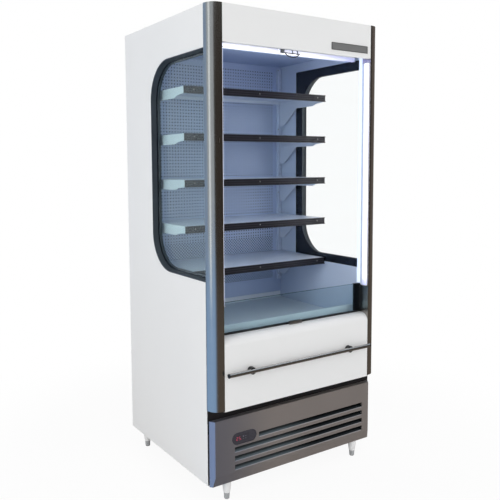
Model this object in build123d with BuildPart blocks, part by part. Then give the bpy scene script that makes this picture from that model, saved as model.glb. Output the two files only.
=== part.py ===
from build123d import *
import os

# Open multideck display fridge on four legs, in millimetres.
# X runs across the front, the customer stands at -Y, Z is up.
# The origin is on the floor, under the middle of the whole outline.

os.makedirs("parts", exist_ok=True)

# ---------------------------------------------------------------- driving sizes
width = 900.0              # over the corner posts
height = 2000.0            # floor to roof
body_depth = 780.0         # header face to back panel
rail_reach = 30.0          # bumper rail in front of the header face
leg_height = 80.0          # floor to the underside of the body
steel = 1.0                # sheet of the outer and inner skins
plate = 1.2                # sheet of panels that take knocks
side_wall = 45.0           # thickness of an insulated side
gap = 0.5                  # clearance at the ends of what fits between the sides

front = rail_reach - (body_depth + rail_reach) / 2
back = front + body_depth
half = width / 2

# corner posts
post_width = 55.0
post_depth = 50.0
post_radius = 46.0
post_wall = 2.0
post_bottom = 398.0
post_cap = 3.0
post_face = half - post_width
face_half = post_face - gap

# insulated box and the tank under its deck
trim_proud = 1.5           # window trim stands this far out of the side skin
back_wall = 44.0
roof_wall = 50.0
floor_wall = 42.0
bumper_top = 692.0
tank_step = 15.0           # tank's front edge below the top of the bumper panel
tank_front = 84.0          # inner face of the tank's front wall, from the header face
tank_bottom = post_bottom
tank_floor = tank_bottom + floor_wall
tank_top = bumper_top - tank_step
wall_front = front + post_depth
skin_x = half - trim_proud
liner_x = half - side_wall
liner_back = back - back_wall
liner_top = height - roof_wall

# side windows, rounded at the rear, closed by the corner post at the front
window_rear = 511.0        # from the header face
window_bottom = 920.0
window_drop = 166.0        # roof to the window's top edge
window_radius = 165.0
trim_lip = 2.0             # part of the frame's rim that laps the skin
trim_edge = 4.0            # width of the rim
trim_flare = 10.0          # the opening narrows this much down to the outer pane
frame_over = 8.0           # the frame beyond the window's edge, behind the skin
pane = 4.0
pane_recess = 20.0         # outer pane behind the side skin
liner_strip = 31.0         # liner left standing in front of the window
liner_behind = 29.0        # liner's cut-out beyond the window, at the rear
liner_under = 22.0
liner_over = 26.0
pane_lap = 4.0             # pane behind the liner's edge
spacer_inset = 17.0        # clear part of the panes inside the window's edge
seal_gap = 0.5             # sealant between spacer and pane
pane_play = 0.3
window_top = height - window_drop
liner_window_rear = window_rear + liner_behind
liner_window_bottom = window_bottom - liner_under
liner_window_top = window_top + liner_over

# header and what hangs under it
header_height = 146.0
header_return = 18.0
header_lip = 8.0
badge_width = 212.0
badge_height = 31.0
badge_inset = 21.5         # from the header's right end
badge_rise = 35.5          # middle of the badge above the header's lower edge
badge_thick = 2.0
badge_rim = 2.5
lamp_width = 24.0
lamp_height = 22.0
lamp_y = 104.0             # middle of the header lamp, from the header face
lamp_end = 15.0            # from the cold space's side to the lamp
cassette_front = 54.0
cassette_back = 122.0
cassette_step = 20.0       # cassette floor above the header's lower edge
curtain_slot = 34.0
honeycomb_front = 128.0
honeycomb_depth = 56.0
honeycomb_step = 12.0      # honeycomb above the header's lower edge
honeycomb_height = 20.0
cell_size = 8.0            # half a cell, across its flats
cell_web = 1.6
honeycomb_rim = 3.0
duct_height = 45.0         # air duct above the ceiling
header_bottom = height - header_height
badge_x = face_half - badge_inset - badge_width / 2
badge_z = header_bottom + badge_rise
lamp_half = liner_x - lamp_end
cassette_floor = header_bottom + cassette_step
honeycomb_bottom = header_bottom + honeycomb_step
ceiling_z = liner_top - duct_height

# night curtain
roller_radius = 22.0
roller_drop = 27.0         # middle of the roller below the roof's inner skin
journal_radius = 6.0
running_fit = 0.05
curtain_y = 67.0           # web, bar and ring hang this far behind the header face
web_inset = 5.0            # web short of the bar's ends
web_thick = 0.8
bar_play = 5.0             # bar to the post lamps
bar_thick = 12.0
bar_height = 18.0
bar_step = 3.0             # middle of the bar above the cassette floor
ring_wire = 2.0
ring_half = 40.0
ring_drop = 16.0
lug_drop = 25.0            # ring's wire below the middle of the bar
lug_width = 7.0
lug_right = 27.0           # the second lug; the first is in the middle
clip_x = -56.0
clip_width = 23.0
clip_thick = 8.0
roller_z = liner_top - roller_drop
bar_z = cassette_floor + bar_step
ring_z = bar_z - lug_drop

# front glass and bumper panel
glass_y = 60.0
glass_thick = 6.0
glass_height = 138.0
glass_bed = 11.0           # foot of the glass above the tank's front edge
channel_wall = 4.0
channel_height = 21.0
bracket_width = 38.0
bracket_thick = 8.0
bumper_radius = 35.0
bumper_drop = 4.0          # lower edge of the bumper panel below the posts
bumper_lip = 6.0
bumper_return = 20.0
catch_width = 66.0
catch_depth = 13.0
catch_height = 13.0
catch_steel = 1.5
glass_foot = tank_top + glass_bed
glass_top = glass_foot + glass_height
channel_top = tank_top + channel_height
bumper_bottom = post_bottom - bumper_drop

# lamps on the inner faces of the posts
post_lamp_width = 30.0
post_lamp_in = 20.0        # middle of the lamp from the header face
post_lamp_thick = 10.0
post_lamp_lap = 4.0        # lamp's lower end below the top of the front glass
post_lamp_drop = 16.0      # lamp's upper end below the header
post_lamp_bottom = glass_top - post_lamp_lap
post_lamp_top = header_bottom - post_lamp_drop
lamp_face = post_face - post_lamp_thick
bar_half = lamp_face - bar_play
curtain_half = bar_half - web_inset

# bumper rail
rail_radius = 9.0
rail_wall = 1.5
rail_short = 4.5           # rail's end short of the bumper panel's end
rail_rise = 153.0          # rail above the bumper panel's lower edge
cap_thick = 4.0
cap_plug = 10.0
plug_play = 0.1
standoff_x = 270.0
standoff_radius = 15.0
rail_half = face_half - rail_short
rail_z = bumper_bottom + rail_rise

# base grille
grille_y = 23.0
grille_height = 275.0
grille_skirt = 3.0         # grille below the underside of the body
facet_width = 15.0
facet_depth = 21.0
grille_end = 7.0           # from the cabinet's side
bevel_height = 41.0
bevel_depth = 10.0
slot_height = 23.0
slot_pitch = 37.5
slot_rows = 4
slot_drop = 102.0          # grille's top to the middle of the top slot
slot_left_end = 110.0      # grille's left end to the long slots
slot_right_end = 55.0
louvre_depth = 17.0
louvre_rise = 16.0
recess_lap = 12.0          # recess panel behind the grille's top
recess_play = 1.0
grille_half = half - grille_end
grille_bottom = leg_height - grille_skirt
grille_top = grille_bottom + grille_height
slot_top_z = grille_top - slot_drop
slot_left = grille_half - slot_left_end
slot_right = grille_half - slot_right_end
recess_bottom = grille_top - recess_lap

# controller
controller_end = 157.5     # grille's left end to the controller's middle
controller_drop = 94.0     # grille's top to the controller's middle
controller_width = 121.0
controller_height = 50.0
controller_rim = 2.0
controller_proud = 1.6
controller_lap = 3.0       # over the edge of its cut-out
controller_boss = 8.0
controller_box_width = 90.0
controller_box_depth = 60.0
controller_box_height = 36.0
short_slot_gap = 14.0      # controller to the top slot
key_radius = 6.0
key_travel = 1.5
key_x = 38.0               # from the controller's middle
key_fit = 0.3
controller_x = controller_end - grille_half
controller_z = grille_top - controller_drop
short_slot_left = -controller_x - controller_width / 2 - short_slot_gap

# base pan, legs and feet
pan_front = 40.0
pan_flange = 30.0
pan_steel = 2.0
leg_collar = 16.0
leg_front_in = 95.0        # front legs from the cabinet's sides
leg_front_y = 54.0
leg_rear_in = 40.0
leg_back_in = 90.0         # rear legs from the back panel
leg_top_radius = 18.5
leg_low_radius = 14.0
foot_height = 28.0
foot_radius = 12.5
foot_base_radius = 11.0
foot_bevel = 3.0
foot_edge = 2.0
stud_radius = 5.0
stud_fit = 0.1
stud_length = 30.0
stud_hole = 36.0
pan_top = leg_height + pan_steel
leg_front_x = half - leg_front_in
leg_rear_x = half - leg_rear_in
leg_rear_y = body_depth - leg_back_in

# deck pan over the tank, and its ledges
deck_step = 17.0           # deck below the tank's front edge
deck_rise = 58.0           # deck's front lip
deck_front = 100.0
deck_gap = 4.0             # deck to the duct panel
deck_play = 5.0            # deck to the cold space's sides
deck_hem = 12.0
deck_rear = 30.0
ledge_width = 12.0
ledge_height = 14.0
ledge_front_in = 30.0      # ledge short of the deck's front and rear edges
ledge_rear_in = 28.0
deck_top = tank_top - deck_step
deck_lip = deck_top + deck_rise
deck_half = liner_x - deck_play

# duct panel and uprights
duct_room = 64.0           # air duct behind the duct panel
duct_tail = 100.0          # duct panel below the deck
upright_width = 24.0
upright_depth = 14.0
upright_steel = 2.0
upright_foot = 100.0       # foot of an upright above the deck
upright_gap = 15.0         # upright to the ceiling
upright_inset = 5.0        # middle of an upright inside the shelf's end
hook_slot_width = 5.0
hook_slot_height = 14.0
hook_pitch = 25.0
duct_y = body_depth - back_wall - duct_room
duct_bottom = deck_top - duct_tail
deck_back = duct_y - deck_gap
ledge_front = front + deck_front + ledge_front_in
ledge_rear = front + deck_back - ledge_rear_in
upright_bottom = deck_top + upright_foot
upright_top = ceiling_z - upright_gap

# shelves and price rails
shelf_count = 5
top_bay = 185.0            # ceiling to the highest price rail
lowest_shelf = 920.0
shelf_depth = 354.0
shelf_play = 12.0          # shelf to the cold space's sides
shelf_flange = 22.0
shelf_rear_flange = 15.0
tray_drop = 1.0            # tray below the top of its price rail
bracket_steel = 3.0
bracket_front_height = 29.5
bracket_mid_height = 44.0
bracket_rear_height = 131.0
bracket_step_1 = 60.0      # behind the shelf's front edge
bracket_step_2 = 88.0
bracket_knee = 215.0
bracket_heel = 315.0
bracket_fall = 5.0
bracket_play = 1.0         # bracket to the face of its upright
hook_length = 8.0
hook_height = 11.0
hook_drop = 11.5           # middle of the upper hook, below the tray
hook_steps = 4             # slots from the upper hook to the lower one
price_overhang = 2.0       # price rail beyond the shelf's end
price_height = 32.0
price_depth = 5.0
price_wall = 1.5
price_lip = 4.0
shelf_top = ceiling_z - top_bay
shelf_steps = round((shelf_top - lowest_shelf) / (shelf_count - 1) / hook_pitch)
shelf_pitch = shelf_steps * hook_pitch
shelf_half = liner_x - shelf_play
price_half = shelf_half + price_overhang
upright_x = shelf_half - upright_inset

# refrigeration
fan_radius = 92.0
fan_hub = 28.0
fan_depth = 26.0
fan_blades = 5
blade_pitch = 32.0
blade_chord = 42.0
blade_thick = 1.8
blade_root = 8.0           # blade's length inside the hub and beyond its tip circle
shaft_radius = 4.0
shaft_seat = 16.0
shaft_end = 2.0            # shaft end to the bottom of its hole
fan_gap = 5.0              # fan to the collar, and to the motor
fan_setback = 8.0          # fan to its plate
collar_wall = 2.0
motor_radius = 34.0
motor_length = 42.0
arm_width = 12.0
arm_thick = 4.0
evaporator_fan_y = 190.0
evaporator_fan_rise = 108.0    # middle of the fan above the tank floor
evaporator_plate_end = 17.0    # from the cold space's sides
evaporator_plate_gap = 5.0     # under the deck
evaporator_end = 45.0
evaporator_depth = 160.0
evaporator_rear = 132.0        # evaporator to the duct panel
evaporator_height = 190.0
condenser_x = -155.0           # middle of the condenser
condenser_length = 390.0
condenser_front = 90.0
condenser_depth = 50.0
condenser_height = 248.0
condenser_fan_rise = 123.0     # middle of the fan above the base pan
fin_pitch = 12.0
fin_thick = 1.0
tube_radius = 5.0
tube_rows = 4
tube_columns = 2
tube_end = 14.0                # tube beyond the last fin
compressor_end = 175.0         # middle of the compressor from the liner's side
compressor_y = 420.0
compressor_radius = 78.0
compressor_height = 190.0
compressor_lift = 12.0
compressor_plate_width = 200.0
compressor_plate_depth = 150.0
grommet_radius = 10.0
grommet_inset = 18.0
drain_x = -155.0               # middle of the drain pan
drain_length = 350.0
drain_depth = 260.0
drain_rear = 50.0              # drain pan to the back panel
drain_height = 45.0
drain_wall = 2.5
vent_width = 150.0
vent_height = 9.0
vent_pitch_x = 225.0
vent_pitch_z = 26.0
vent_rows = 8
inlet_plate_width = 140.0      # the power inlet's plate fills a notch in the back panel's corner
inlet_plate_height = 190.0
inlet_play = 0.5
inlet_end = 42.0               # from the cabinet's side to the power inlet's middle
inlet_rise = 60.0              # above the base pan
inlet_size = 56.0
inlet_depth = 24.0
inlet_wall = 2.0
gland_radius = 9.0
cord_radius = 4.5
gland_set_in = 3.0             # gland's end behind the back panel
evaporator_fan_z = tank_floor + evaporator_fan_rise
evaporator_plate_half = liner_x - evaporator_plate_end
evaporator_plate_top = deck_top - evaporator_plate_gap
evaporator_half = liner_x - evaporator_end
evaporator_back = duct_y - evaporator_rear
evaporator_y = (evaporator_back - evaporator_depth, evaporator_back)
condenser_sides = (condenser_x - condenser_length / 2, condenser_x + condenser_length / 2)
condenser_y = (condenser_front, condenser_front + condenser_depth)
condenser_fan_z = pan_top + condenser_fan_rise
compressor_x = liner_x - compressor_end
inlet_x = half - inlet_end
inlet_z = pan_top + inlet_rise


# ---------------------------------------------------------------- helpers
def save(piece, name):
    """Label a piece and write it."""
    piece.part.label = name
    export_step(piece.part, f"parts/{name}.step")


def block(x0, x1, y0, y1, z0, z1, mode=Mode.ADD):
    """A block between two opposite corners."""
    with Locations(((x0 + x1) / 2, (y0 + y1) / 2, (z0 + z1) / 2)):
        Box(x1 - x0, y1 - y0, z1 - z0, mode=mode)


def round_bar(x, y0, y1, z, radius, mode=Mode.ADD):
    """A round bar between two depths."""
    with Locations(Location((x, (y0 + y1) / 2, z), (90, 0, 0))):
        Cylinder(radius, abs(y1 - y0), mode=mode)


def cross_bar(y, z, radius, length, x=0.0, mode=Mode.ADD):
    """A round bar across the cabinet."""
    with Locations(Location((x, y, z), (0, 90, 0))):
        Cylinder(radius, length, mode=mode)


def prism(points, x0, x1, mode=Mode.ADD):
    """A closed outline of (y, z) points, extruded across the cabinet."""
    with BuildSketch(Plane.YZ.offset(x0)) as outline:
        with BuildLine():
            Polyline(*points, close=True)
        make_face()
    extrude(outline.sketch, amount=x1 - x0, mode=mode)


def bent_sheet(points, thick, x0, x1, bend=0.0, side=Side.LEFT):
    """A sheet folded along (y, z) points, as long as from x0 to x1."""
    with BuildSketch(Plane.YZ.offset(x0)) as outline:
        with BuildLine():
            if bend:
                FilletPolyline(*points, radius=bend)
            else:
                Polyline(*points)
            offset(amount=thick, side=side)
        make_face()
    extrude(outline.sketch, amount=x1 - x0)


def window_shape(x, inset, depth, radius, rear, bottom, top, mode=Mode.ADD):
    """The window's outline, rounded at the rear, run out past the wall's front edge."""
    y0 = wall_front
    y1 = front + rear - inset
    z0 = bottom + inset
    z1 = top - inset
    with BuildSketch(Plane.YZ.offset(x)) as outline:
        with Locations(((y0 + y1) / 2, (z0 + z1) / 2)):
            Rectangle(y1 - y0, z1 - z0)
        if radius:
            fillet(outline.vertices().group_by(Axis.X)[-1], radius)
    extrude(outline.sketch, amount=depth, mode=mode)


def mirrored(piece):
    """The same piece on the other side of the cabinet."""
    with BuildPart() as other:
        add(mirror(piece.part, about=Plane.YZ, mode=Mode.PRIVATE))
    return other


# ---------------------------------------------------------------- outer skins
side_bottom = leg_height
skin_in = skin_x - steel
side_lip = 14.0

with BuildPart() as side_panel_left:
    block(-skin_x, -skin_in, wall_front, back, side_bottom, height)
    block(-skin_in, -skin_in + side_lip, wall_front, back, side_bottom, side_bottom + steel)
    window_shape(-skin_x - 1, trim_lip, steel + 2, window_radius - trim_lip,
                 window_rear, window_bottom, window_top, Mode.SUBTRACT)
save(side_panel_left, "side_panel_left")
side_panel_right = mirrored(side_panel_left)
save(side_panel_right, "side_panel_right")

with BuildPart() as roof_panel:
    block(-skin_in, skin_in, wall_front, back - steel, height - steel, height)
save(roof_panel, "roof_panel")

# back panel with vent slots for the machine space, and a corner notch for the power inlet's plate
inlet_side = skin_in - inlet_plate_width
inlet_top = pan_top + inlet_plate_height
with BuildPart() as back_panel:
    block(-skin_in, skin_in, back - steel, back, pan_top, height)
    with Locations((0, back - steel / 2, (side_bottom + tank_bottom) / 2)):
        with GridLocations(vent_pitch_x, 0, 3, 1):
            for row in range(vent_rows):
                with Locations((0, 0, (row - (vent_rows - 1) / 2) * vent_pitch_z)):
                    Box(vent_width, steel * 3, vent_height, mode=Mode.SUBTRACT)
    block(inlet_side, skin_in + 1, back - steel - 1, back + 1, pan_top - 1, inlet_top, Mode.SUBTRACT)
save(back_panel, "back_panel")

# ---------------------------------------------------------------- insulated box
# side skins of the cold space: a square cut-out for the inner pane, a ledge for the deck pan
deck_under = deck_top - plate
with BuildPart() as side_liner_left:
    block(-liner_x - steel, -liner_x, wall_front, liner_back + steel,
          tank_floor - steel, liner_top + steel)
    block(-liner_x - steel - 1, -liner_x + 1, wall_front + liner_strip, front + liner_window_rear,
          liner_window_bottom, liner_window_top, Mode.SUBTRACT)
    block(-liner_x, -liner_x + ledge_width, ledge_front, ledge_rear,
          deck_under - ledge_height, deck_under)
    block(-liner_x + steel, -liner_x + ledge_width + 1, ledge_front - 1, ledge_rear + 1,
          deck_under - ledge_height - 1, deck_under - steel, Mode.SUBTRACT)
save(side_liner_left, "side_liner_left")
side_liner_right = mirrored(side_liner_left)
save(side_liner_right, "side_liner_right")

# one folded sheet: top and inside of the tank front, tank floor, back wall, ceiling
liner_path = [
    (wall_front, tank_top),
    (front + tank_front, tank_top),
    (front + tank_front, tank_floor),
    (liner_back, tank_floor),
    (liner_back, liner_top),
    (wall_front, liner_top),
]
with BuildPart() as inner_liner:
    bent_sheet(liner_path, steel, -liner_x, liner_x, side=Side.RIGHT)
save(inner_liner, "inner_liner")

# insulating foam: one body round the cold space, from the tank front to the roof
foam_x = liner_x + steel
foam_rear = liner_back + steel
pane_edge = pane_lap + pane_play
with BuildPart() as cabinet_foam:
    block(-skin_in, skin_in, wall_front, back - steel, tank_bottom, height - steel)
    block(-foam_x, foam_x, front + tank_front - steel, foam_rear,
          tank_floor - steel, liner_top + steel, Mode.SUBTRACT)
    block(-foam_x, foam_x, wall_front - 1, front + tank_front, tank_top - steel,
          liner_top + steel, Mode.SUBTRACT)
    block(-half, half, wall_front - 1, front + liner_window_rear + pane_edge,
          liner_window_bottom - pane_edge, liner_window_top + pane_edge, Mode.SUBTRACT)
    for sign in (-1, 1):
        x0, x1 = sorted((sign * liner_x, sign * foam_x))
        block(x0, x1, wall_front - 1, foam_rear, tank_floor - steel, liner_top + steel,
              Mode.SUBTRACT)
save(cabinet_foam, "cabinet_foam")

# ---------------------------------------------------------------- side windows
pane_front = wall_front + pane_lap
pane_rear = front + liner_window_rear + pane_lap
outer_pane_x = skin_in - pane_recess
inner_pane_x = foam_x + pane_play


def pane_block(x0, x1, inset=0.0, mode=Mode.ADD):
    """The panes' outline, between two depths of the wall."""
    block(x0, x1, pane_front + inset, pane_rear - inset, liner_window_bottom - pane_lap + inset,
          liner_window_top + pane_lap - inset, mode)


with BuildPart() as window_glass_left:
    pane_block(-outer_pane_x, -outer_pane_x + pane)
    pane_block(-inner_pane_x - pane, -inner_pane_x)
save(window_glass_left, "window_glass_left")
window_glass_right = mirrored(window_glass_left)
save(window_glass_right, "window_glass_right")

# dark frame round each opening, flared from the side skin down to the outer pane, and the spacer
# that keeps the two panes apart
def flare_outline(x):
    """The frame's opening at a depth of the wall, run out well past the wall's front edge."""
    share = (half - abs(x)) / (half - outer_pane_x)
    inset = trim_edge + (trim_flare - trim_edge) * share
    y0 = wall_front - trim_flare
    y1 = front + window_rear - inset
    with BuildSketch(Plane.YZ.offset(x)) as outline:
        with Locations(((y0 + y1) / 2, (window_bottom + window_top) / 2)):
            Rectangle(y1 - y0, window_top - window_bottom - 2 * inset)
        fillet(outline.vertices().group_by(Axis.X)[-1], window_radius - inset)
    return outline.sketch


with BuildPart() as gasket_left:
    window_shape(-half, 0, trim_proud, window_radius, window_rear, window_bottom, window_top)
    window_shape(-skin_x, trim_lip, steel, window_radius - trim_lip,
                 window_rear, window_bottom, window_top)
    window_shape(-skin_in, -frame_over, skin_in - outer_pane_x - pane_play,
                 window_radius + frame_over, window_rear, window_bottom, window_top)
    loft([flare_outline(-half - 1), flare_outline(-outer_pane_x + 1)], mode=Mode.SUBTRACT)
    pane_block(-outer_pane_x + pane + seal_gap, -inner_pane_x - pane - seal_gap)
    window_shape(-outer_pane_x + pane, spacer_inset, outer_pane_x - inner_pane_x - 2 * pane,
                 window_radius - spacer_inset, window_rear, window_bottom, window_top, Mode.SUBTRACT)
with BuildPart() as window_gaskets:
    add(gasket_left.part)
    add(mirror(gasket_left.part, about=Plane.YZ, mode=Mode.PRIVATE))
save(window_gaskets, "window_gaskets")


# ---------------------------------------------------------------- corner posts
def post_outline(inset):
    """A post seen from above: a quarter round at the outer front corner."""
    x0 = -half + inset
    x1 = -half + post_width - inset
    y0 = front + inset
    y1 = wall_front - inset
    r = post_radius - inset
    with BuildSketch(Plane.XY.offset(post_bottom)) as outline:
        with BuildLine():
            Polyline((x0 + r, y0), (x1, y0), (x1, y1), (x0, y1), (x0, y0 + r))
            CenterArc((x0 + r, y0 + r), r, 180, 90)
        make_face()
    return outline.sketch


with BuildPart() as corner_post_left:
    extrude(post_outline(0), amount=height - post_bottom)
    extrude(post_outline(post_wall), amount=height - post_bottom - post_cap, mode=Mode.SUBTRACT)
save(corner_post_left, "corner_post_left")
corner_post_right = mirrored(corner_post_left)
save(corner_post_right, "corner_post_right")

# ---------------------------------------------------------------- header
header_path = [
    (wall_front, height),
    (front, height),
    (front, header_bottom),
    (front + header_return, header_bottom),
    (front + header_return, header_bottom + header_lip),
]
with BuildPart() as header_panel:
    bent_sheet(header_path, plate, -face_half, face_half, bend=2.0)
save(header_panel, "header_panel")

with BuildPart() as badge_plate:
    with BuildSketch(Plane.XZ.offset(-front)) as badge_outline:
        with Locations((badge_x, badge_z)):
            RectangleRounded(badge_width, badge_height, badge_rim)
    extrude(amount=badge_thick)
    block(badge_x - badge_width / 2 + badge_rim, badge_x + badge_width / 2 - badge_rim,
          front - badge_thick - 1, front - badge_thick / 2,
          badge_z - badge_height / 2 + badge_rim, badge_z + badge_height / 2 - badge_rim,
          Mode.SUBTRACT)
save(badge_plate, "badge_plate")

# three lamps: one across under the cassette, one up each post
with BuildPart() as led_lamps:
    with BuildSketch(Plane.YZ.offset(-lamp_half)) as header_lamp:
        with Locations((front + lamp_y, cassette_floor - lamp_height / 2)):
            Rectangle(lamp_width, lamp_height)
        fillet(header_lamp.vertices().group_by(Axis.Y)[0], lamp_width / 4)
    extrude(amount=lamp_half * 2)
    with BuildSketch(Plane.XY.offset(post_lamp_bottom)) as post_lamps:
        for sign in (-1, 1):
            with Locations((sign * (post_face + lamp_face) / 2, front + post_lamp_in)):
                Rectangle(post_lamp_thick, post_lamp_width)
        fillet(post_lamps.vertices().filter_by_position(Axis.X, -lamp_face - 1, lamp_face + 1),
               post_lamp_thick / 2)
    extrude(amount=post_lamp_top - post_lamp_bottom)
save(led_lamps, "led_lamps")

# honeycomb that straightens the cold air: as many rows and columns as its depth and width hold
comb_y = front + honeycomb_front + honeycomb_depth / 2
comb_half = liner_x - gap
cell_pitch = 2 * cell_size + cell_web
column_pitch = cell_pitch * 3 ** 0.5 / 2
cell_rows = int((honeycomb_depth - 2 * honeycomb_rim - cell_pitch / 2) / cell_pitch)
cell_columns = int((2 * comb_half - 2 * honeycomb_rim) / column_pitch) - 1
with BuildPart() as honeycomb:
    block(-comb_half, comb_half, comb_y - honeycomb_depth / 2, comb_y + honeycomb_depth / 2,
          honeycomb_bottom, honeycomb_bottom + honeycomb_height)
    with BuildSketch(Plane.XY.offset(honeycomb_bottom)) as cells:
        with Locations((0, comb_y)):
            with HexLocations(cell_pitch / 2, cell_columns, cell_rows):
                RegularPolygon(cell_size, 6, major_radius=False)
    extrude(amount=honeycomb_height, mode=Mode.SUBTRACT)
save(honeycomb, "honeycomb")

# ---------------------------------------------------------------- night curtain
roller_y = front + curtain_y + roller_radius + web_thick
cassette_end = liner_x - gap
cassette_top = liner_top - gap
cassette_path = [
    (front + cassette_front + curtain_slot, cassette_floor),
    (front + cassette_back, cassette_floor),
    (front + cassette_back, cassette_top),
    (front + cassette_front, cassette_top),
    (front + cassette_front, cassette_floor),
]
end_plate = 4.0
with BuildPart() as curtain_cassette:
    bent_sheet(cassette_path, plate, -cassette_end, cassette_end)
    for sign in (-1, 1):
        x0, x1 = sorted((sign * cassette_end, sign * (cassette_end - end_plate)))
        block(x0, x1, front + cassette_front, front + cassette_back,
              roller_z - roller_radius - web_thick, cassette_top)
    cross_bar(roller_y, roller_z, journal_radius + running_fit, cassette_end * 2 + 2,
              mode=Mode.SUBTRACT)
save(curtain_cassette, "curtain_cassette")

with BuildPart() as curtain_roller:
    cross_bar(roller_y, roller_z, roller_radius, curtain_half * 2)
    cross_bar(roller_y, roller_z, journal_radius, cassette_end * 2)
save(curtain_roller, "curtain_roller")

bar_top = bar_z + bar_height / 2
with BuildPart() as curtain_web:
    block(-curtain_half, curtain_half, front + curtain_y - web_thick, front + curtain_y,
          bar_top + gap, roller_z)
save(curtain_web, "curtain_web")

# the bar carries two lugs for the ring and a clip beside it
web_mid = front + curtain_y - web_thick / 2
lug_wall = 1.8
with BuildPart() as curtain_bar:
    with BuildSketch(Plane.YZ.offset(-bar_half)) as bar_section:
        with Locations((web_mid, bar_z)):
            RectangleRounded(bar_thick, bar_height, bar_thick / 4)
    extrude(amount=bar_half * 2)
    for x in (0, lug_right):
        block(x - lug_width / 2, x + lug_width / 2, web_mid - ring_wire, web_mid + ring_wire,
              ring_z, bar_z)
        cross_bar(web_mid, ring_z, ring_wire + running_fit + lug_wall, lug_width, x)
    block(clip_x - clip_width / 2, clip_x + clip_width / 2, web_mid - clip_thick / 2,
          web_mid + clip_thick / 2, ring_z - ring_wire, bar_z)
    cross_bar(web_mid, ring_z, ring_wire + running_fit, ring_half * 2, mode=Mode.SUBTRACT)
save(curtain_bar, "curtain_bar")

with BuildPart() as pull_ring:
    with BuildLine(Plane.XZ.offset(-web_mid)) as bow:
        ThreePointArc((-ring_half, ring_z), (0, ring_z - ring_drop), (ring_half, ring_z))
    with BuildSketch(Plane(origin=bow.line @ 0, z_dir=bow.line % 0)):
        Circle(ring_wire)
    sweep(path=bow.line)
    cross_bar(web_mid, ring_z, ring_wire, ring_half * 2)
    with Locations((-ring_half, web_mid, ring_z), (ring_half, web_mid, ring_z)):
        Sphere(ring_wire)
save(pull_ring, "pull_ring")

catch_y = front + bumper_radius + 2
with BuildPart() as curtain_catch:
    with BuildSketch(Plane.XZ.offset(-catch_y)) as catch_outline:
        with Locations((0, bumper_top + catch_height / 2)):
            Rectangle(catch_width, catch_height)
        fillet(catch_outline.vertices().group_by(Axis.Y)[-1], catch_height / 3)
    extrude(amount=-catch_depth)
    block(-catch_width / 2 - 1, catch_width / 2 + 1, catch_y + catch_steel,
          catch_y + catch_depth - catch_steel, bumper_top + catch_steel,
          bumper_top + catch_height + 1, Mode.SUBTRACT)
save(curtain_catch, "curtain_catch")

# ---------------------------------------------------------------- front glass
glass_front = front + glass_y - glass_thick / 2
glass_back = glass_front + glass_thick
glass_half = liner_x - 1
with BuildPart() as front_glass:
    block(-glass_half, glass_half, glass_front, glass_back, glass_foot, glass_top)
    chamfer(front_glass.edges().filter_by(Axis.X).group_by(Axis.Z)[-1], glass_thick / 8)
save(front_glass, "front_glass")

# channel along the foot of the glass and a bracket behind each end
with BuildPart() as glass_frame:
    block(-glass_half, glass_half, glass_front - channel_wall, glass_back + channel_wall,
          tank_top, channel_top)
    for sign in (-1, 1):
        x0, x1 = sorted((sign * glass_half, sign * (glass_half - bracket_width)))
        block(x0, x1, glass_back, glass_back + bracket_thick, tank_top, glass_top)
    block(-glass_half - 1, glass_half + 1, glass_front, glass_back,
          glass_foot, glass_top + 1, Mode.SUBTRACT)
save(glass_frame, "glass_frame")

# ---------------------------------------------------------------- bumper panel and rail
with BuildPart() as bumper_panel:
    with BuildSketch(Plane.YZ.offset(-face_half)) as bumper_outline:
        with BuildLine():
            nose_y = front + bumper_radius
            nose_z = bumper_top - bumper_radius
            lip_y = wall_front + plate
            Polyline((front + bumper_return, bumper_bottom), (front, bumper_bottom),
                     (front, nose_z))
            CenterArc((nose_y, nose_z), bumper_radius, 180, -90)
            Polyline((nose_y, bumper_top), (lip_y, bumper_top), (lip_y, bumper_top - bumper_lip))
            offset(amount=plate, side=Side.RIGHT)
        make_face()
    extrude(amount=face_half * 2)
save(bumper_panel, "bumper_panel")

rail_y = front - rail_reach + rail_radius
with BuildPart() as bumper_rail:
    cross_bar(rail_y, rail_z, rail_radius, (rail_half - cap_thick) * 2)
    cross_bar(rail_y, rail_z, rail_radius - rail_wall, rail_half * 2, mode=Mode.SUBTRACT)
save(bumper_rail, "bumper_rail")

# end caps with a plug in the tube, and stand-offs that the rail lies in
with BuildPart() as rail_fittings:
    for sign in (-1, 1):
        round_bar(sign * standoff_x, rail_y, front, rail_z, standoff_radius)
    cross_bar(rail_y, rail_z, rail_radius, rail_half * 2, mode=Mode.SUBTRACT)
    for sign in (-1, 1):
        cross_bar(rail_y, rail_z, rail_radius, cap_thick, sign * (rail_half - cap_thick / 2))
        cross_bar(rail_y, rail_z, rail_radius - rail_wall - plug_play, cap_plug,
                  sign * (rail_half - cap_thick - cap_plug / 2))
save(rail_fittings, "rail_fittings")

with BuildPart() as recess_panel:
    block(-skin_x, skin_x, wall_front - plate, wall_front, recess_bottom,
          post_bottom - recess_play)
save(recess_panel, "recess_panel")

# ---------------------------------------------------------------- base grille
grille_back = wall_front - 2 * plate
grille_face = front + grille_y


def grille_outline(inset):
    """The base grille from above: facets run back to the cabinet's sides."""
    x0 = grille_half - inset
    x1 = grille_half - facet_width - inset / 2
    y0 = grille_face + inset
    y1 = grille_face + facet_depth
    with BuildSketch(Plane.XY.offset(grille_bottom)) as outline:
        with BuildLine():
            Polyline((-x0, grille_back), (-x0, y1), (-x1, y0), (x1, y0), (x0, y1),
                     (x0, grille_back), close=True)
        make_face()
    return outline.sketch


def bevel(inset):
    """Takes the lower front edge off, across the whole grille."""
    y0 = grille_face + inset
    prism([(y0 - bevel_depth, grille_bottom - 1), (y0 + bevel_depth, grille_bottom - 1),
           (y0, grille_bottom + bevel_height), (y0 - bevel_depth, grille_bottom + bevel_height)],
          -half, half, Mode.SUBTRACT)


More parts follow.
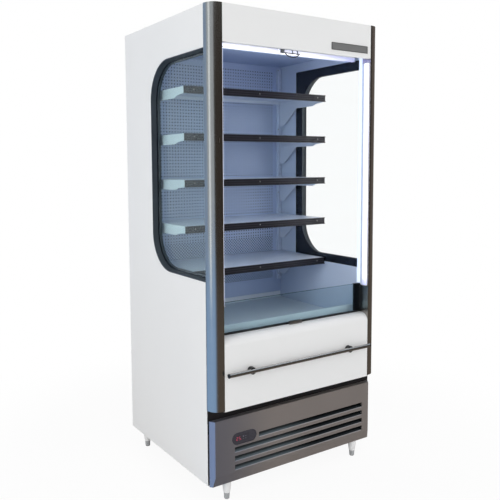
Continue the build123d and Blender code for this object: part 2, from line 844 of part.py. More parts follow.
with BuildPart() as grille_hollow:
    extrude(grille_outline(plate), amount=grille_top - grille_bottom - plate)
    bevel(plate)
with BuildPart() as base_grille:
    extrude(grille_outline(0), amount=grille_top - grille_bottom)
    bevel(0)
    add(grille_hollow.part, mode=Mode.SUBTRACT)
    for row in range(slot_rows):
        low = slot_top_z - row * slot_pitch - slot_height / 2
        x0 = -short_slot_left if row == 0 else -slot_left
        block(x0, slot_right, grille_face - 1, grille_face + plate + 1,
              low, low + slot_height, Mode.SUBTRACT)
        prism([(grille_face, low - plate), (grille_face + plate, low - plate),
               (grille_face + louvre_depth + plate, low + louvre_rise - plate),
               (grille_face + louvre_depth, low + louvre_rise), (grille_face, low)],
              x0, slot_right)
    with BuildSketch(Plane.XZ.offset(-grille_face - plate * 2)) as controller_hole:
        with Locations((controller_x, controller_z)):
            SlotOverall(controller_width - 2 * controller_lap, controller_height - 2 * controller_lap)
    extrude(amount=plate * 3, mode=Mode.SUBTRACT)
save(base_grille, "base_grille")

# ---------------------------------------------------------------- controller
controller_front = grille_face - controller_proud
boss_back = grille_face + controller_boss


def stadium(inset, y0, y1, mode=Mode.ADD):
    """The controller's round-ended outline, between two depths."""
    with BuildSketch(Plane.XZ.offset(-y1)) as outline:
        with Locations((controller_x, controller_z)):
            SlotOverall(controller_width - inset * 2, controller_height - inset * 2)
    extrude(outline.sketch, amount=y1 - y0, mode=mode)


with BuildPart() as controller:
    stadium(0, controller_front, grille_face)
    stadium(controller_lap + key_fit, grille_face, boss_back)
    block(controller_x - controller_box_width / 2, controller_x + controller_box_width / 2,
          boss_back, grille_face + controller_box_depth,
          controller_z - controller_box_height / 2, controller_z + controller_box_height / 2)
    stadium(controller_rim, controller_front, controller_front + controller_proud / 2,
            Mode.SUBTRACT)
    round_bar(controller_x + key_x, controller_front - 1, boss_back, controller_z,
              key_radius + key_fit, Mode.SUBTRACT)
save(controller, "controller")

with BuildPart() as controller_key:
    with Locations(Location((controller_x + key_x, 0, controller_z), (90, 0, 0))):
        with Locations((0, 0, -(controller_front + boss_back - key_travel - key_fit) / 2)):
            Cylinder(key_radius, boss_back - key_travel - key_fit - controller_front)
    fillet(controller_key.edges().group_by(Axis.Y)[0], key_radius / 8)
save(controller_key, "controller_key")

# ---------------------------------------------------------------- base pan, legs, feet
pan_half = liner_x - 1
legs = {
    "front_left": (-leg_front_x, leg_front_y),
    "front_right": (leg_front_x, leg_front_y),
    "rear_left": (-leg_rear_x, leg_rear_y),
    "rear_right": (leg_rear_x, leg_rear_y),
}
pan_side = skin_in - side_lip - 1
with BuildPart() as base_pan:
    block(-pan_half, pan_half, front + pan_front, back - steel, leg_height, pan_top)
    block(-pan_side, pan_side, wall_front, back - steel, leg_height, pan_top)
    for sign in (-1, 1):
        x0, x1 = sorted((sign * pan_half, sign * (pan_half - pan_steel)))
        block(x0, x1, wall_front, back - steel, leg_height, leg_height + pan_flange)
    block(-pan_half, pan_half, back - steel - pan_steel, back - steel, leg_height,
          leg_height + pan_flange)
save(base_pan, "base_pan")

with BuildPart() as leg_pattern:
    with BuildSketch(Plane.XZ):
        with BuildLine():
            Polyline((0, foot_height), (leg_low_radius, foot_height),
                     (leg_top_radius, leg_height - leg_collar), (leg_top_radius, leg_height),
                     (0, leg_height), close=True)
        make_face()
        with Locations(((stud_radius + stud_fit) / 2, foot_height + stud_hole / 2)):
            Rectangle(stud_radius + stud_fit, stud_hole, mode=Mode.SUBTRACT)
    revolve(axis=Axis.Z)
with BuildPart() as leg_bodies:
    for x, y in legs.values():
        with Locations((x, front + y, 0)):
            add(leg_pattern.part)
save(leg_bodies, "leg_bodies")

with BuildPart() as foot_pattern:
    with BuildSketch(Plane.XZ):
        with BuildLine():
            Polyline((0, 0), (foot_base_radius - foot_edge, 0), (foot_base_radius, foot_edge),
                     (foot_radius, foot_height - foot_bevel), (foot_radius, foot_height),
                     (stud_radius, foot_height), (stud_radius, foot_height + stud_length),
                     (0, foot_height + stud_length), close=True)
        make_face()
    revolve(axis=Axis.Z)
for name, (x, y) in legs.items():
    with BuildPart() as foot:
        with Locations((x, front + y, 0)):
            add(foot_pattern.part)
    save(foot, "foot_" + name)

# ---------------------------------------------------------------- duct panel, uprights
duct_front_y = front + honeycomb_front + honeycomb_depth + plate
duct_path = [
    (front + duct_y, duct_bottom),
    (front + duct_y, ceiling_z),
    (duct_front_y, ceiling_z),
    (duct_front_y, honeycomb_bottom),
]
with BuildPart() as duct_panel:
    bent_sheet(duct_path, plate, -comb_half, comb_half, side=Side.RIGHT)
save(duct_panel, "duct_panel")

# the slots are in step with the hooks of every shelf
upright_front = front + duct_y - upright_depth
slot_x = shelf_half - bracket_steel / 2
hook_z = shelf_top - tray_drop - hook_drop
slots_above = int((upright_top - hook_pitch / 2 - hook_z) / hook_pitch)
slots_below = int((hook_z - upright_bottom - hook_pitch / 2) / hook_pitch)
with BuildPart() as shelf_uprights:
    for sign in (-1, 1):
        x = sign * upright_x
        block(x - upright_width / 2, x + upright_width / 2, upright_front, front + duct_y,
              upright_bottom, upright_top)
        block(x - upright_width / 2 + upright_steel, x + upright_width / 2 - upright_steel,
              upright_front + upright_steel, front + duct_y + 1,
              upright_bottom - 1, upright_top + 1, Mode.SUBTRACT)
    with BuildSketch(Plane.XZ.offset(-upright_front - upright_steel - 1)) as hook_slots:
        for row in range(-slots_below, slots_above + 1):
            z = hook_z + row * hook_pitch
            with Locations((-slot_x, z), (slot_x, z)):
                Rectangle(hook_slot_width, hook_slot_height)
    extrude(amount=upright_steel + 2, mode=Mode.SUBTRACT)
save(shelf_uprights, "shelf_uprights")

# ---------------------------------------------------------------- shelves and price rails
shelf_rear = upright_front - bracket_play
shelf_y = shelf_rear - shelf_depth


def shelf(name, top):
    """A steel tray on two stepped brackets that hook into the uprights."""
    tray = top - tray_drop
    bracket = [
        (shelf_y, tray - plate / 2),
        (shelf_y, tray - bracket_front_height),
        (shelf_y + bracket_step_1, tray - bracket_front_height - bracket_fall),
        (shelf_y + bracket_step_2, tray - bracket_mid_height),
        (shelf_y + bracket_knee, tray - bracket_mid_height),
        (shelf_y + bracket_heel, tray - bracket_rear_height + bracket_fall),
        (shelf_rear, tray - bracket_rear_height),
        (shelf_rear, tray - plate / 2),
    ]
    with BuildPart() as piece:
        bent_sheet([(shelf_y, tray - shelf_flange), (shelf_y, tray), (shelf_rear, tray),
                    (shelf_rear, tray - shelf_rear_flange)],
                   plate, -shelf_half, shelf_half, side=Side.RIGHT)
        for x in (-shelf_half, shelf_half - bracket_steel):
            prism(bracket, x, x + bracket_steel)
            for step in (0, hook_steps):
                z = tray - hook_drop - step * hook_pitch
                block(x, x + bracket_steel, shelf_rear, shelf_rear + hook_length,
                      z - hook_height / 2, z + hook_height / 2)
    save(piece, name)


def price_rail(name, top):
    """A channel with two lips that hold the price labels."""
    with BuildPart() as piece:
        block(-price_half, price_half, shelf_y - price_depth, shelf_y, top - price_height, top)
        block(-price_half - 1, price_half + 1, shelf_y - price_depth + price_wall,
              shelf_y - price_wall, top - price_height + price_wall, top - price_wall,
              Mode.SUBTRACT)
        block(-price_half - 1, price_half + 1, shelf_y - price_depth - 1, shelf_y - price_wall,
              top - price_height + price_lip, top - price_lip, Mode.SUBTRACT)
    save(piece, name)


for number in range(shelf_count):
    top = shelf_top - number * shelf_pitch
    shelf(f"shelf_{number + 1}", top)
    price_rail(f"price_rail_{number + 1}", top)

deck_path = [
    (front + deck_back, deck_top + deck_rear),
    (front + deck_back, deck_under),
    (front + deck_front, deck_under),
    (front + deck_front, deck_lip),
    (front + deck_front + deck_hem, deck_lip),
    (front + deck_front + deck_hem, deck_lip - deck_hem),
]
with BuildPart() as deck_pan:
    bent_sheet(deck_path, plate, -deck_half, deck_half, side=Side.RIGHT)
save(deck_pan, "deck_pan")


# ---------------------------------------------------------------- fans
def fan_rotor(name, x, y, z, toward):
    """Pitched blades on a hub; its blind hole faces the motor, on the side given by toward."""
    with BuildPart(Plane(origin=(x, front + y, z), x_dir=(1, 0, 0), z_dir=(0, toward, 0))) as rotor:
        Cylinder(fan_hub, fan_depth)
        with PolarLocations((fan_hub + fan_radius) / 2, fan_blades):
            Box(fan_radius - fan_hub + blade_root, blade_chord, blade_thick, rotation=(blade_pitch, 0, 0))
        Cylinder(fan_radius, fan_depth, mode=Mode.INTERSECT)
        with Locations((0, 0, fan_depth / 2)):
            Hole(shaft_radius + running_fit, depth=shaft_seat)
    save(rotor, name)


def fan_mount(name, x, y, z, toward, x_range, z_range):
    """A plate round the fan, a collar, and the motor on crossed arms behind it."""
    plate_y = front + y - toward * (fan_depth / 2 + fan_setback)
    arm_y = front + y + toward * (fan_depth / 2 + fan_gap)
    arm_end = arm_y + toward * arm_thick
    reach = fan_radius + fan_gap + collar_wall
    sheet_y0, sheet_y1 = sorted((plate_y, plate_y - toward * plate))
    arm_y0, arm_y1 = sorted((arm_y, arm_end))
    with BuildPart() as mount:
        block(*x_range, sheet_y0, sheet_y1, *z_range)
        round_bar(x, plate_y, arm_end, z, reach)
        round_bar(x, sheet_y0 - reach, sheet_y1 + reach, z, fan_radius + fan_gap, Mode.SUBTRACT)
        block(x - reach + 1, x + reach - 1, arm_y0, arm_y1, z - arm_width / 2, z + arm_width / 2)
        block(x - arm_width / 2, x + arm_width / 2, arm_y0, arm_y1, z - reach + 1, z + reach - 1)
        round_bar(x, arm_y, arm_y + toward * motor_length, z, motor_radius)
        round_bar(x, arm_y, arm_y - toward * (fan_gap + shaft_seat - shaft_end), z, shaft_radius)
    save(mount, name)


condenser_fan_y = condenser_y[1] + plate + fan_setback + fan_depth / 2
fan_rotor("condenser_fan", condenser_x, condenser_fan_y, condenser_fan_z, 1)
fan_mount("fan_shroud", condenser_x, condenser_fan_y, condenser_fan_z, 1,
          condenser_sides, (pan_top, pan_top + condenser_height))
fan_rotor("evaporator_fan", 0, evaporator_fan_y, evaporator_fan_z, -1)
fan_mount("fan_plate", 0, evaporator_fan_y, evaporator_fan_z, -1,
          (-evaporator_plate_half, evaporator_plate_half), (tank_floor, evaporator_plate_top))


# ---------------------------------------------------------------- coils
def coil(name, x_range, y_range, z_range):
    """Plate fins on rows of round tubes."""
    x = sum(x_range) / 2
    y = front + sum(y_range) / 2
    z = sum(z_range) / 2
    length = x_range[1] - x_range[0] - 2 * tube_end
    depth = y_range[1] - y_range[0]
    rise = z_range[1] - z_range[0]
    fins = int(length / fin_pitch) + 1
    with BuildPart() as piece:
        with Locations((x, y, z)):
            with GridLocations(fin_pitch, 0, fins, 1):
                Box(fin_thick, depth, rise)
        with Locations(Location((x, y, z), (0, 90, 0))):
            with GridLocations(rise / tube_rows, depth / tube_columns, tube_rows, tube_columns):
                Cylinder(tube_radius, length + 2 * tube_end)
    save(piece, name)


coil("evaporator_coil", (-evaporator_half, evaporator_half), evaporator_y,
     (tank_floor, tank_floor + evaporator_height))
coil("condenser_coil", condenser_sides, condenser_y, (pan_top, pan_top + condenser_height))

# ---------------------------------------------------------------- compressor, drain pan, inlet
with BuildPart() as compressor:
    with Locations((compressor_x, front + compressor_y,
                    pan_top + compressor_lift + compressor_height / 2)):
        Cylinder(compressor_radius, compressor_height)
    fillet(compressor.edges().group_by(Axis.Z)[-1], compressor_radius * 0.6)
    fillet(compressor.edges().group_by(Axis.Z)[0], compressor_radius * 0.3)
    with Locations((compressor_x, front + compressor_y, pan_top + compressor_lift + plate)):
        Box(compressor_plate_width, compressor_plate_depth, 2 * plate)
    with Locations((compressor_x, front + compressor_y, pan_top + compressor_lift / 2 + plate)):
        with GridLocations(compressor_plate_width - 2 * grommet_inset,
                           compressor_plate_depth - 2 * grommet_inset, 2, 2):
            Cylinder(grommet_radius, compressor_lift + 2 * plate)
save(compressor, "compressor")

with BuildPart() as drain_pan:
    block(drain_x - drain_length / 2, drain_x + drain_length / 2,
          back - drain_rear - drain_depth, back - drain_rear, pan_top, pan_top + drain_height)
    fillet(drain_pan.edges().filter_by(Axis.Z), drain_wall * 4)
    offset(amount=-drain_wall, openings=drain_pan.faces().sort_by(Axis.Z)[-1])
save(drain_pan, "drain_pan")

# a plate flush with the back panel, a cup sunk into it, and the cord's gland standing in the cup
inlet_back = back - steel
inlet_hole = inlet_size - 2 * inlet_wall
gland_end = back - gland_set_in
with BuildPart() as power_inlet:
    block(inlet_side + inlet_play, skin_in, inlet_back, back, pan_top, inlet_top - inlet_play)
    block(inlet_x - inlet_size / 2, inlet_x + inlet_size / 2, inlet_back - inlet_depth, inlet_back,
          inlet_z - inlet_size / 2, inlet_z + inlet_size / 2)
    block(inlet_x - inlet_hole / 2, inlet_x + inlet_hole / 2, inlet_back - inlet_depth + inlet_wall,
          back + 1, inlet_z - inlet_hole / 2, inlet_z + inlet_hole / 2, Mode.SUBTRACT)
    round_bar(inlet_x, inlet_back - inlet_depth, gland_end, inlet_z, gland_radius)
    round_bar(inlet_x, inlet_back - inlet_depth - 1, gland_end + 1, inlet_z, cord_radius,
              Mode.SUBTRACT)
save(power_inlet, "power_inlet")
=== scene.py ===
# %% [markdown]
# # An open multideck display fridge
# A shop fridge on four legs: a white powder-coated cabinet with glass sides and dark anodised corner
# posts, five hooked shelves with black price rails, a low front glass, a night curtain and a slotted
# base grille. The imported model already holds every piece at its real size. This lesson gives each
# surface its finish, and makes again the few pieces whose look needs finer shape: the perforated duct
# panel, the lamps, the curtain's web, the printed borders of the windows, and the display.

# %% Load the frame
import math

import bmesh
import bpy
from mathutils import Matrix, Vector


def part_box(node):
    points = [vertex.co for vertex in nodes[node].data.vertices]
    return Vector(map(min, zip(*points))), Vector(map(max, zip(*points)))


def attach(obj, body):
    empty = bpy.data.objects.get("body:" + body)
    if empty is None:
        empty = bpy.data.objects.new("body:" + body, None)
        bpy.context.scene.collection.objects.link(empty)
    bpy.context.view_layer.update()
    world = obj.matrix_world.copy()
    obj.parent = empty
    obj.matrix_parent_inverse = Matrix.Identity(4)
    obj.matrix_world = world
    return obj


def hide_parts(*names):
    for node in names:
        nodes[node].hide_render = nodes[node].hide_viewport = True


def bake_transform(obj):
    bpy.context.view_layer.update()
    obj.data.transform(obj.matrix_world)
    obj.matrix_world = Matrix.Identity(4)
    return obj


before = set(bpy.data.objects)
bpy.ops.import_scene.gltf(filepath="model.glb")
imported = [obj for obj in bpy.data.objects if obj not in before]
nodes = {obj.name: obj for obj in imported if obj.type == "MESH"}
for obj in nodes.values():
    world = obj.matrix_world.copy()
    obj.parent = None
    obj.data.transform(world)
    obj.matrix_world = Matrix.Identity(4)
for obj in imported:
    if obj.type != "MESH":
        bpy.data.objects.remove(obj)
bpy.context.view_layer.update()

# %% [markdown]
# ## Words for colours and node trees
# Paint charts give colours as sRGB hex codes, while the shaders mix linear light, so one function
# turns one into the other. Patterns are sized in millimetres: a noise of scale 1 repeats about once
# a metre on Object coordinates, so a grain of so many millimetres needs a scale of 1000 over that.
# A Mix node has a set of sockets for each kind of data, all with the same names, so the ones for
# colours are picked by number.

# %% Colour, size and node helpers
MM = 0.001
FACTOR, FIRST, SECOND, BLEND = 0, 6, 7, 2


def linear(code):
    """An sRGB hex colour as linear RGBA."""
    parts = [int(code[i:i + 2], 16) / 255 for i in (1, 3, 5)]
    return [c / 12.92 if c <= 0.04045 else ((c + 0.055) / 1.055) ** 2.4 for c in parts] + [1.0]


def grain(size):
    """The scale of a pattern whose features are this many millimetres."""
    return 1000 / size


def fill(tree, node, inputs):
    """Fills a node's inputs with numbers, hex colours or other nodes' outputs."""
    for name, value in inputs.items():
        if isinstance(value, bpy.types.NodeSocket):
            tree.links.new(value, node.inputs[name])
        else:
            node.inputs[name].default_value = linear(value) if isinstance(value, str) else value


def add_node(tree, kind, inputs=None, **settings):
    """A node with its settings and its inputs."""
    node = tree.nodes.new("ShaderNode" + kind)
    for name, value in settings.items():
        setattr(node, name, value)
    fill(tree, node, inputs or {})
    return node


def start_material(name):
    """An empty material: its tree, and the piece's own coordinates."""
    material = bpy.data.materials.new(name)
    material.use_nodes = True
    tree = material.node_tree
    tree.nodes.clear()
    return material, tree, add_node(tree, "TexCoord").outputs["Object"]


def end_material(tree, shader):
    """Joins the last shader to the material's output."""
    add_node(tree, "OutputMaterial", {"Surface": shader})


def end_finish(tree, tone, gloss, relief, more):
    """Ends a solid finish. tone is a pattern and two colours, gloss a pattern and two roughnesses,
    relief a pattern, its strength and its height in millimetres. more is set on the shader itself."""
    colour = add_node(tree, "Mix", {FACTOR: tone[0], FIRST: tone[1], SECOND: tone[2]}, data_type="RGBA")
    rough = add_node(tree, "MapRange", {"Value": gloss[0], "To Min": gloss[1], "To Max": gloss[2]})
    bump = add_node(tree, "Bump", {"Height": relief[0], "Strength": relief[1], "Distance": relief[2] * MM})
    shader = add_node(tree, "BsdfPrincipled", {
        "Base Color": colour.outputs[BLEND], "Roughness": rough.outputs["Result"],
        "Normal": bump.outputs["Normal"], **more})
    end_material(tree, shader.outputs["BSDF"])


# %% [markdown]
# ## Powder coat
# Polyester powder is sprayed dry and melts into one smooth skin in an oven. It never levels quite
# like wet paint: an orange peel of a millimetre or two breaks up reflections, and large panels vary
# a little in tone. One noise gives the bump of the peel, a finer one its uneven shine and a wide one
# the drift in tone. The peel is drawn at 3 mm, twice as coarse as the real one, so that it shows
# from a few steps away.

# %% Powder-coated steel
peel_size = 3.0
drift_size = 420.0
speck_size = 0.9
peel_depth = 0.4


def powder_coat(name, colour, drift, gloss, peel, sparkle=0.0, specular=0.5):
    """Powder-coated sheet: a colour, the tone it drifts to, its roughness and how deep its peel is."""
    material, tree, place = start_material(name)
    wide = add_node(tree, "TexNoise", {"Vector": place, "Scale": grain(drift_size), "Detail": 3.0})
    speck = add_node(tree, "TexNoise", {"Vector": place, "Scale": grain(speck_size), "Detail": 1.0})
    dimple = add_node(tree, "TexNoise", {"Vector": place, "Scale": grain(peel_size)})
    end_finish(tree, (wide.outputs["Fac"], colour, drift), (speck.outputs["Fac"], gloss - 0.05, gloss + 0.07),
               (dimple.outputs["Fac"], peel, peel_depth),
               {"Metallic": sparkle, "Specular IOR Level": specular})
    return material


white_coat = powder_coat("white_powder_coat", "#F1F1F1", "#ECEDED", 0.42, 0.12, specular=0.3)
# The white inside of the cabinet is drawn in blue greys, lighter on the deck and darker on the duct panel: the
# blue is painted light, standing in for the cool light of the lamps.
shelf_coat = powder_coat("shelf_powder_coat", "#D6E0F0", "#CDD8EA", 0.34, 0.10)
deck_coat = powder_coat("deck_powder_coat", "#E6EDF5", "#DCE4EE", 0.36, 0.10)
liner_coat = powder_coat("liner_powder_coat", "#CCD9EE", "#C3D1EA", 0.38, 0.10)
duct_coat = powder_coat("duct_powder_coat", "#B6C6E4", "#ADBEDF", 0.42, 0.10)
# The side walls have their own copy of the liner's coat, which gets a painted glow strip further on.
wall_coat_painted_glare = powder_coat("side_wall_powder_coat_painted_glare", "#CCD9EE", "#C3D1EA", 0.38, 0.10)
reflector_coat_painted_glow = powder_coat("white_reflector_lacquer_painted_glow", "#C6D2E4", "#BCCADF", 0.30, 0.10)
leg_coat = powder_coat("silver_powder_coat", "#F8F8F8", "#F1F1F1", 0.34, 0.10)
badge_coat = powder_coat("silver_badge_lacquer", "#868787", "#7B7C7C", 0.34, 0.10, 0.2)
grille_coat = powder_coat("taupe_metallic_powder_coat", "#B8B1AF", "#A9A3A1", 0.34, 0.22, 0.68)
black_coat = powder_coat("black_powder_coat", "#1A191B", "#232124", 0.48, 0.25)
enamel = powder_coat("black_compressor_enamel", "#101012", "#1B1B1E", 0.22, 0.10)
print("materials so far", len(bpy.data.materials))

# %% [markdown]
# ## Brushed and anodised metal
# An abrasive belt leaves fine lines along a bar or a strip, and anodising keeps them under a hard
# clear or tinted oxide. Noise that is stretched along the strip draws the lines. It moves the
# roughness and a weak bump, so a highlight breaks into streaks across the lines and not along them.

# %% Brushed metals
line_size = 1.6
line_stretch = 60.0
line_depth = 0.15
cloud_size = 90.0


def brushed_metal(name, colour, light, along, roughness, lines=0.25, coat=0.0):
    """Metal with belt lines along an axis: 0, 1 or 2 for X, Y or Z."""
    material, tree, place = start_material(name)
    squeeze = [1.0, 1.0, 1.0]
    squeeze[along] = 1 / line_stretch
    drawn = add_node(tree, "Mapping", {"Vector": place, "Scale": squeeze})
    streaks = add_node(tree, "TexNoise", {"Vector": drawn.outputs["Vector"], "Scale": grain(line_size),
                                          "Detail": 4.0})
    cloud = add_node(tree, "TexNoise", {"Vector": place, "Scale": grain(cloud_size), "Detail": 3.0})
    end_finish(tree, (cloud.outputs["Fac"], colour, light),
               (streaks.outputs["Fac"], roughness - 0.08, roughness + 0.10),
               (streaks.outputs["Fac"], lines, line_depth),
               {"Metallic": 1.0, "Coat Weight": coat, "Coat Roughness": 0.12, "Coat IOR": 1.6})
    return material


bronze = brushed_metal("bronze_anodised_aluminium", "#A8A39C", "#9C9892", 2, 0.22, 0.05, 0.2)
natural = brushed_metal("natural_anodised_aluminium", "#B9BCC0", "#A8ABB0", 0, 0.34)
stainless_rail = brushed_metal("brushed_stainless_tube", "#B6B3B0", "#A3A09D", 0, 0.20, 0.10)
stainless = brushed_metal("brushed_stainless_steel", "#A9A7A4", "#949290", 0, 0.30)
dark_wire = brushed_metal("black_nickel_wire", "#55555A", "#48484D", 0, 0.34)
fin_metal = brushed_metal("aluminium_fin_stock", "#C3C7CB", "#AEB4BA", 2, 0.36)
print("materials so far", len(bpy.data.materials))

# %% [markdown]
# ## Galvanised sheet
# Hidden sheet is hot-dip galvanised: the zinc freezes into crystals a thumbnail wide, which catch the
# light one by one. A Voronoi pattern has just such cells, with one random shade each. The zinc has
# dulled, so it is drawn as half metal and half grey oxide.

# %% Galvanised steel
spangle_size = 14.0
dust_size = 4.0
galvanised, tree, place = start_material("galvanised_steel")
cells = add_node(tree, "TexVoronoi", {"Vector": place, "Scale": grain(spangle_size), "Randomness": 0.9})
shade = add_node(tree, "SeparateColor", {"Color": cells.outputs["Color"]})
dust = add_node(tree, "TexNoise", {"Vector": place, "Scale": grain(dust_size), "Detail": 4.0})
end_finish(tree, (shade.outputs["Red"], "#9EA2A4", "#B9BDBF"), (shade.outputs["Green"], 0.42, 0.58),
           (dust.outputs["Fac"], 0.12, 0.2), {"Metallic": 0.45})
print("spangle", spangle_size, "mm")

# %% [markdown]
# ## Plastics and rubber
# A mould is etched with a fine grain, so that sink marks and scratches don't show. The grain of a
# black ABS part is about half a millimetre; here it is drawn at 1.2 mm. Rubber is matter than
# plastic, and dust lies on it in pale clouds.

# %% Moulded plastics and rubber
mould_grain = 1.2
pit_depth = 0.15
patch_size = 60.0


def moulded(name, colour, worn, roughness, depth=0.3, size=mould_grain):
    """A moulded surface: the grain of the mould, and a worn tone in wide patches."""
    material, tree, place = start_material(name)
    pits = add_node(tree, "TexVoronoi", {"Vector": place, "Scale": grain(size)})
    patches = add_node(tree, "TexNoise", {"Vector": place, "Scale": grain(patch_size), "Detail": 4.0})
    end_finish(tree, (patches.outputs["Fac"], colour, worn),
               (patches.outputs["Fac"], roughness - 0.04, roughness + 0.08),
               (pits.outputs["Distance"], depth, pit_depth), {"IOR": 1.52})
    return material


black_abs = moulded("grained_black_ABS", "#131315", "#1F1F22", 0.42)
controller_abs = moulded("glossy_charcoal_ABS", "#3B3A42", "#43424A", 0.20, 0.10)
white_pp = moulded("white_polypropylene", "#D5DAE2", "#C9CFDA", 0.46)
foot_nylon = moulded("grey_nylon", "#A9ABAD", "#B4B6B8", 0.40)
fan_nylon = moulded("black_glass_filled_nylon", "#18181A", "#242427", 0.36)
rubber = moulded("EPDM_rubber", "#2B333A", "#333C44", 0.50, 0.2)
smoked = moulded("smoked_polycarbonate", "#37363E", "#3D3C44", 0.16, 0.05)
frit_ink = moulded("fired_ceramic_ink", "#121720", "#1B212C", 0.22, 0.05)
print("materials so far", len(bpy.data.materials))

# %% [markdown]
# ## Ribbed price rail
# The price rails are extruded in black PVC, with fine ribs 10 mm apart that hold the price strip. The
# ribs are too thin to model, so they are a bump on the distance to the nearest rib, with a paler
# painted highlight on their crests. The die leaves hairlines along the rail, which a stretched noise draws.

# %% Extruded PVC with ribs
rib_pitch = 10 * MM
rib_half = 1.3 * MM
hair_size = 2.0
hair_stretch = 50.0
rail_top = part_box("price_rail_1")[1].z
rail_pvc, tree, place = start_material("ribbed_black_PVC")
axes = add_node(tree, "SeparateXYZ", {"Vector": place})
below = add_node(tree, "Math", {0: rail_top - MM, 1: axes.outputs["Z"]}, operation="SUBTRACT")
to_rib = add_node(tree, "Math", {0: below.outputs["Value"], 1: rib_pitch / 2}, operation="PINGPONG")
rib = add_node(tree, "MapRange", {"Value": to_rib.outputs["Value"], "From Max": rib_half,
                                  "To Min": 1.0, "To Max": 0.0}).outputs["Result"]
drawn = add_node(tree, "Mapping", {"Vector": place, "Scale": (1 / hair_stretch, 1, 1)})
hair = add_node(tree, "TexNoise", {"Vector": drawn.outputs["Vector"], "Scale": grain(hair_size)})
# The paler tone on the rib crests is a painted highlight.
end_finish(tree, (rib, "#18171D", "#4A4955"), (hair.outputs["Fac"], 0.28, 0.42), (rib, 0.5, 0.4),
           {"Specular IOR Level": 0.3})
print("ribs every", rib_pitch / MM, "mm")

# %% [markdown]
# ## Painted light and shade that change from place to place
# Six of the finishes aren't the same all over, and what changes on them is painted light or shade. A
# painted glow in a narrow strip at the side walls' front edge stands in for the glare of the post
# lamps, the lamps' reflector plates get a weaker painted glow all over, and a painted glow on the air
# outlet and the ceiling behind it stands in for the header lamp's. The duct panel is painted dark
# where the uprights cover it, and so is the liner behind the panel, which shows through the punched
# holes: both are painted shade. The louvres behind the grille's face are painted in shade, darker
# towards the right, and the grille turns a cooler grey towards its left end, a painted reflection.
# All but the reflectors' glow are a ramp along an axis, laid over the finish's tone.

# %% Helpers for ramps and layers
def ramp_along(tree, place, axis, start, stop, interpolation="SMOOTHSTEP"):
    """0 before start and 1 after stop along an axis, in metres, smooth between."""
    axes = add_node(tree, "SeparateXYZ", {"Vector": place})
    return add_node(tree, "MapRange", {"Value": axes.outputs[axis], "From Min": start, "From Max": stop},
                    interpolation_type=interpolation).outputs["Result"]


def painted(material):
    """The tree of a finished paint, its coordinates, its last shader and the source of its colour."""
    tree = material.node_tree
    shader = next(node for node in tree.nodes if node.type == "BSDF_PRINCIPLED")
    place = next(node for node in tree.nodes if node.type == "TEX_COORD").outputs["Object"]
    return tree, place, shader, shader.inputs["Base Color"].links[0].from_socket


def over(tree, shader, tone, pattern, code):
    """Lays a second colour over a paint where a pattern is 1."""
    mix = add_node(tree, "Mix", {FACTOR: pattern, FIRST: tone, SECOND: code}, data_type="RGBA")
    fill(tree, shader, {"Base Color": mix.outputs[BLEND]})
    return mix.outputs[BLEND]


def glowing(tree, shader, code, ramp, start, stop):
    """Paints a weak glow onto a paint, from one strength to another along a ramp: painted light, not a lamp.
    """
    power = add_node(tree, "MapRange", {"Value": ramp, "To Min": start, "To Max": stop})
    fill(tree, shader, {"Emission Color": code, "Emission Strength": power.outputs["Result"]})


# %% Painted glare of the lamps
liner_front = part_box("side_liner_left")[0].y
painted_glare_depth = 38 * MM
painted_glare_power = 0.85
reflector_glow_share = 0.15
# Painted glow on the side walls, strongest at their front edge: it stands in for the post lamps' glare.
tree, place, shader, tone = painted(wall_coat_painted_glare)
past = ramp_along(tree, place, "Y", liner_front + painted_glare_depth * 0.7, liner_front + painted_glare_depth)
glowing(tree, shader, "#D9E4F4", past, painted_glare_power, 0.0)
# A weaker painted glow, even all over, on the lacquer of the lamps' reflector plates.
tree, place, shader, tone = painted(reflector_coat_painted_glow)
fill(tree, shader, {"Emission Color": "#E2EAF8", "Emission Strength": painted_glare_power * reflector_glow_share})

comb_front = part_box("honeycomb")[0].y
comb_painted_glow_depth = 60 * MM
comb_painted_glow_power = (0.55, 0.30)
ceiling_painted_glow_to = 0.14
ceiling_painted_glow_power = 0.16
# Painted glow on the duct panel's ceiling just behind the honeycomb, standing in for the header lamp's light.
tree, place, shader, tone = painted(duct_coat)
past = ramp_along(tree, place, "Y", comb_front, ceiling_painted_glow_to)
glowing(tree, shader, "#8FA6D2", past, ceiling_painted_glow_power, 0.0)
# The honeycomb gets its own copy of the white polypropylene, with a painted glow at its front standing in for
# the header lamp's light.
comb_white_painted_glow = moulded("white_polypropylene_comb_painted_glow", "#D5DAE2", "#C9CFDA", 0.46)
tree, place, shader, tone = painted(comb_white_painted_glow)
past = ramp_along(tree, place, "Y", comb_front, comb_front + comb_painted_glow_depth)
glowing(tree, shader, "#A9BCE6", past, *comb_painted_glow_power)
print("glare strip", painted_glare_depth / MM, "mm deep")

# %% Painted shade on the duct panel behind the uprights, and on the liner behind the panel
upright_shade_width = 22 * MM
shade_edge_fade = 5 * MM
shade_from = 2 * MM
shade_to = 4 * MM
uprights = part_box("shelf_uprights")
# Painted shade: the duct panel is drawn dark in the strips behind the uprights.
tree, place, shader, tone = painted(duct_coat)
axes = add_node(tree, "SeparateXYZ", {"Vector": place})
aside = add_node(tree, "Math", {0: axes.outputs["X"]}, operation="ABSOLUTE").outputs["Value"]
painted_shade_strip = add_node(tree, "Math", {0: aside, 1: uprights[1].x - upright_shade_width},
                   operation="GREATER_THAN").outputs["Value"]
for end, inward in zip(uprights, (shade_edge_fade, -shade_edge_fade)):
    within = ramp_along(tree, place, "Z", end.z, end.z + inward, "LINEAR")
    painted_shade_strip = add_node(tree, "Math", {0: painted_shade_strip, 1: within}, operation="MULTIPLY").outputs["Value"]
over(tree, shader, tone, painted_shade_strip, "#1A1F2B")
duct_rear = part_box("duct_panel")[1].y
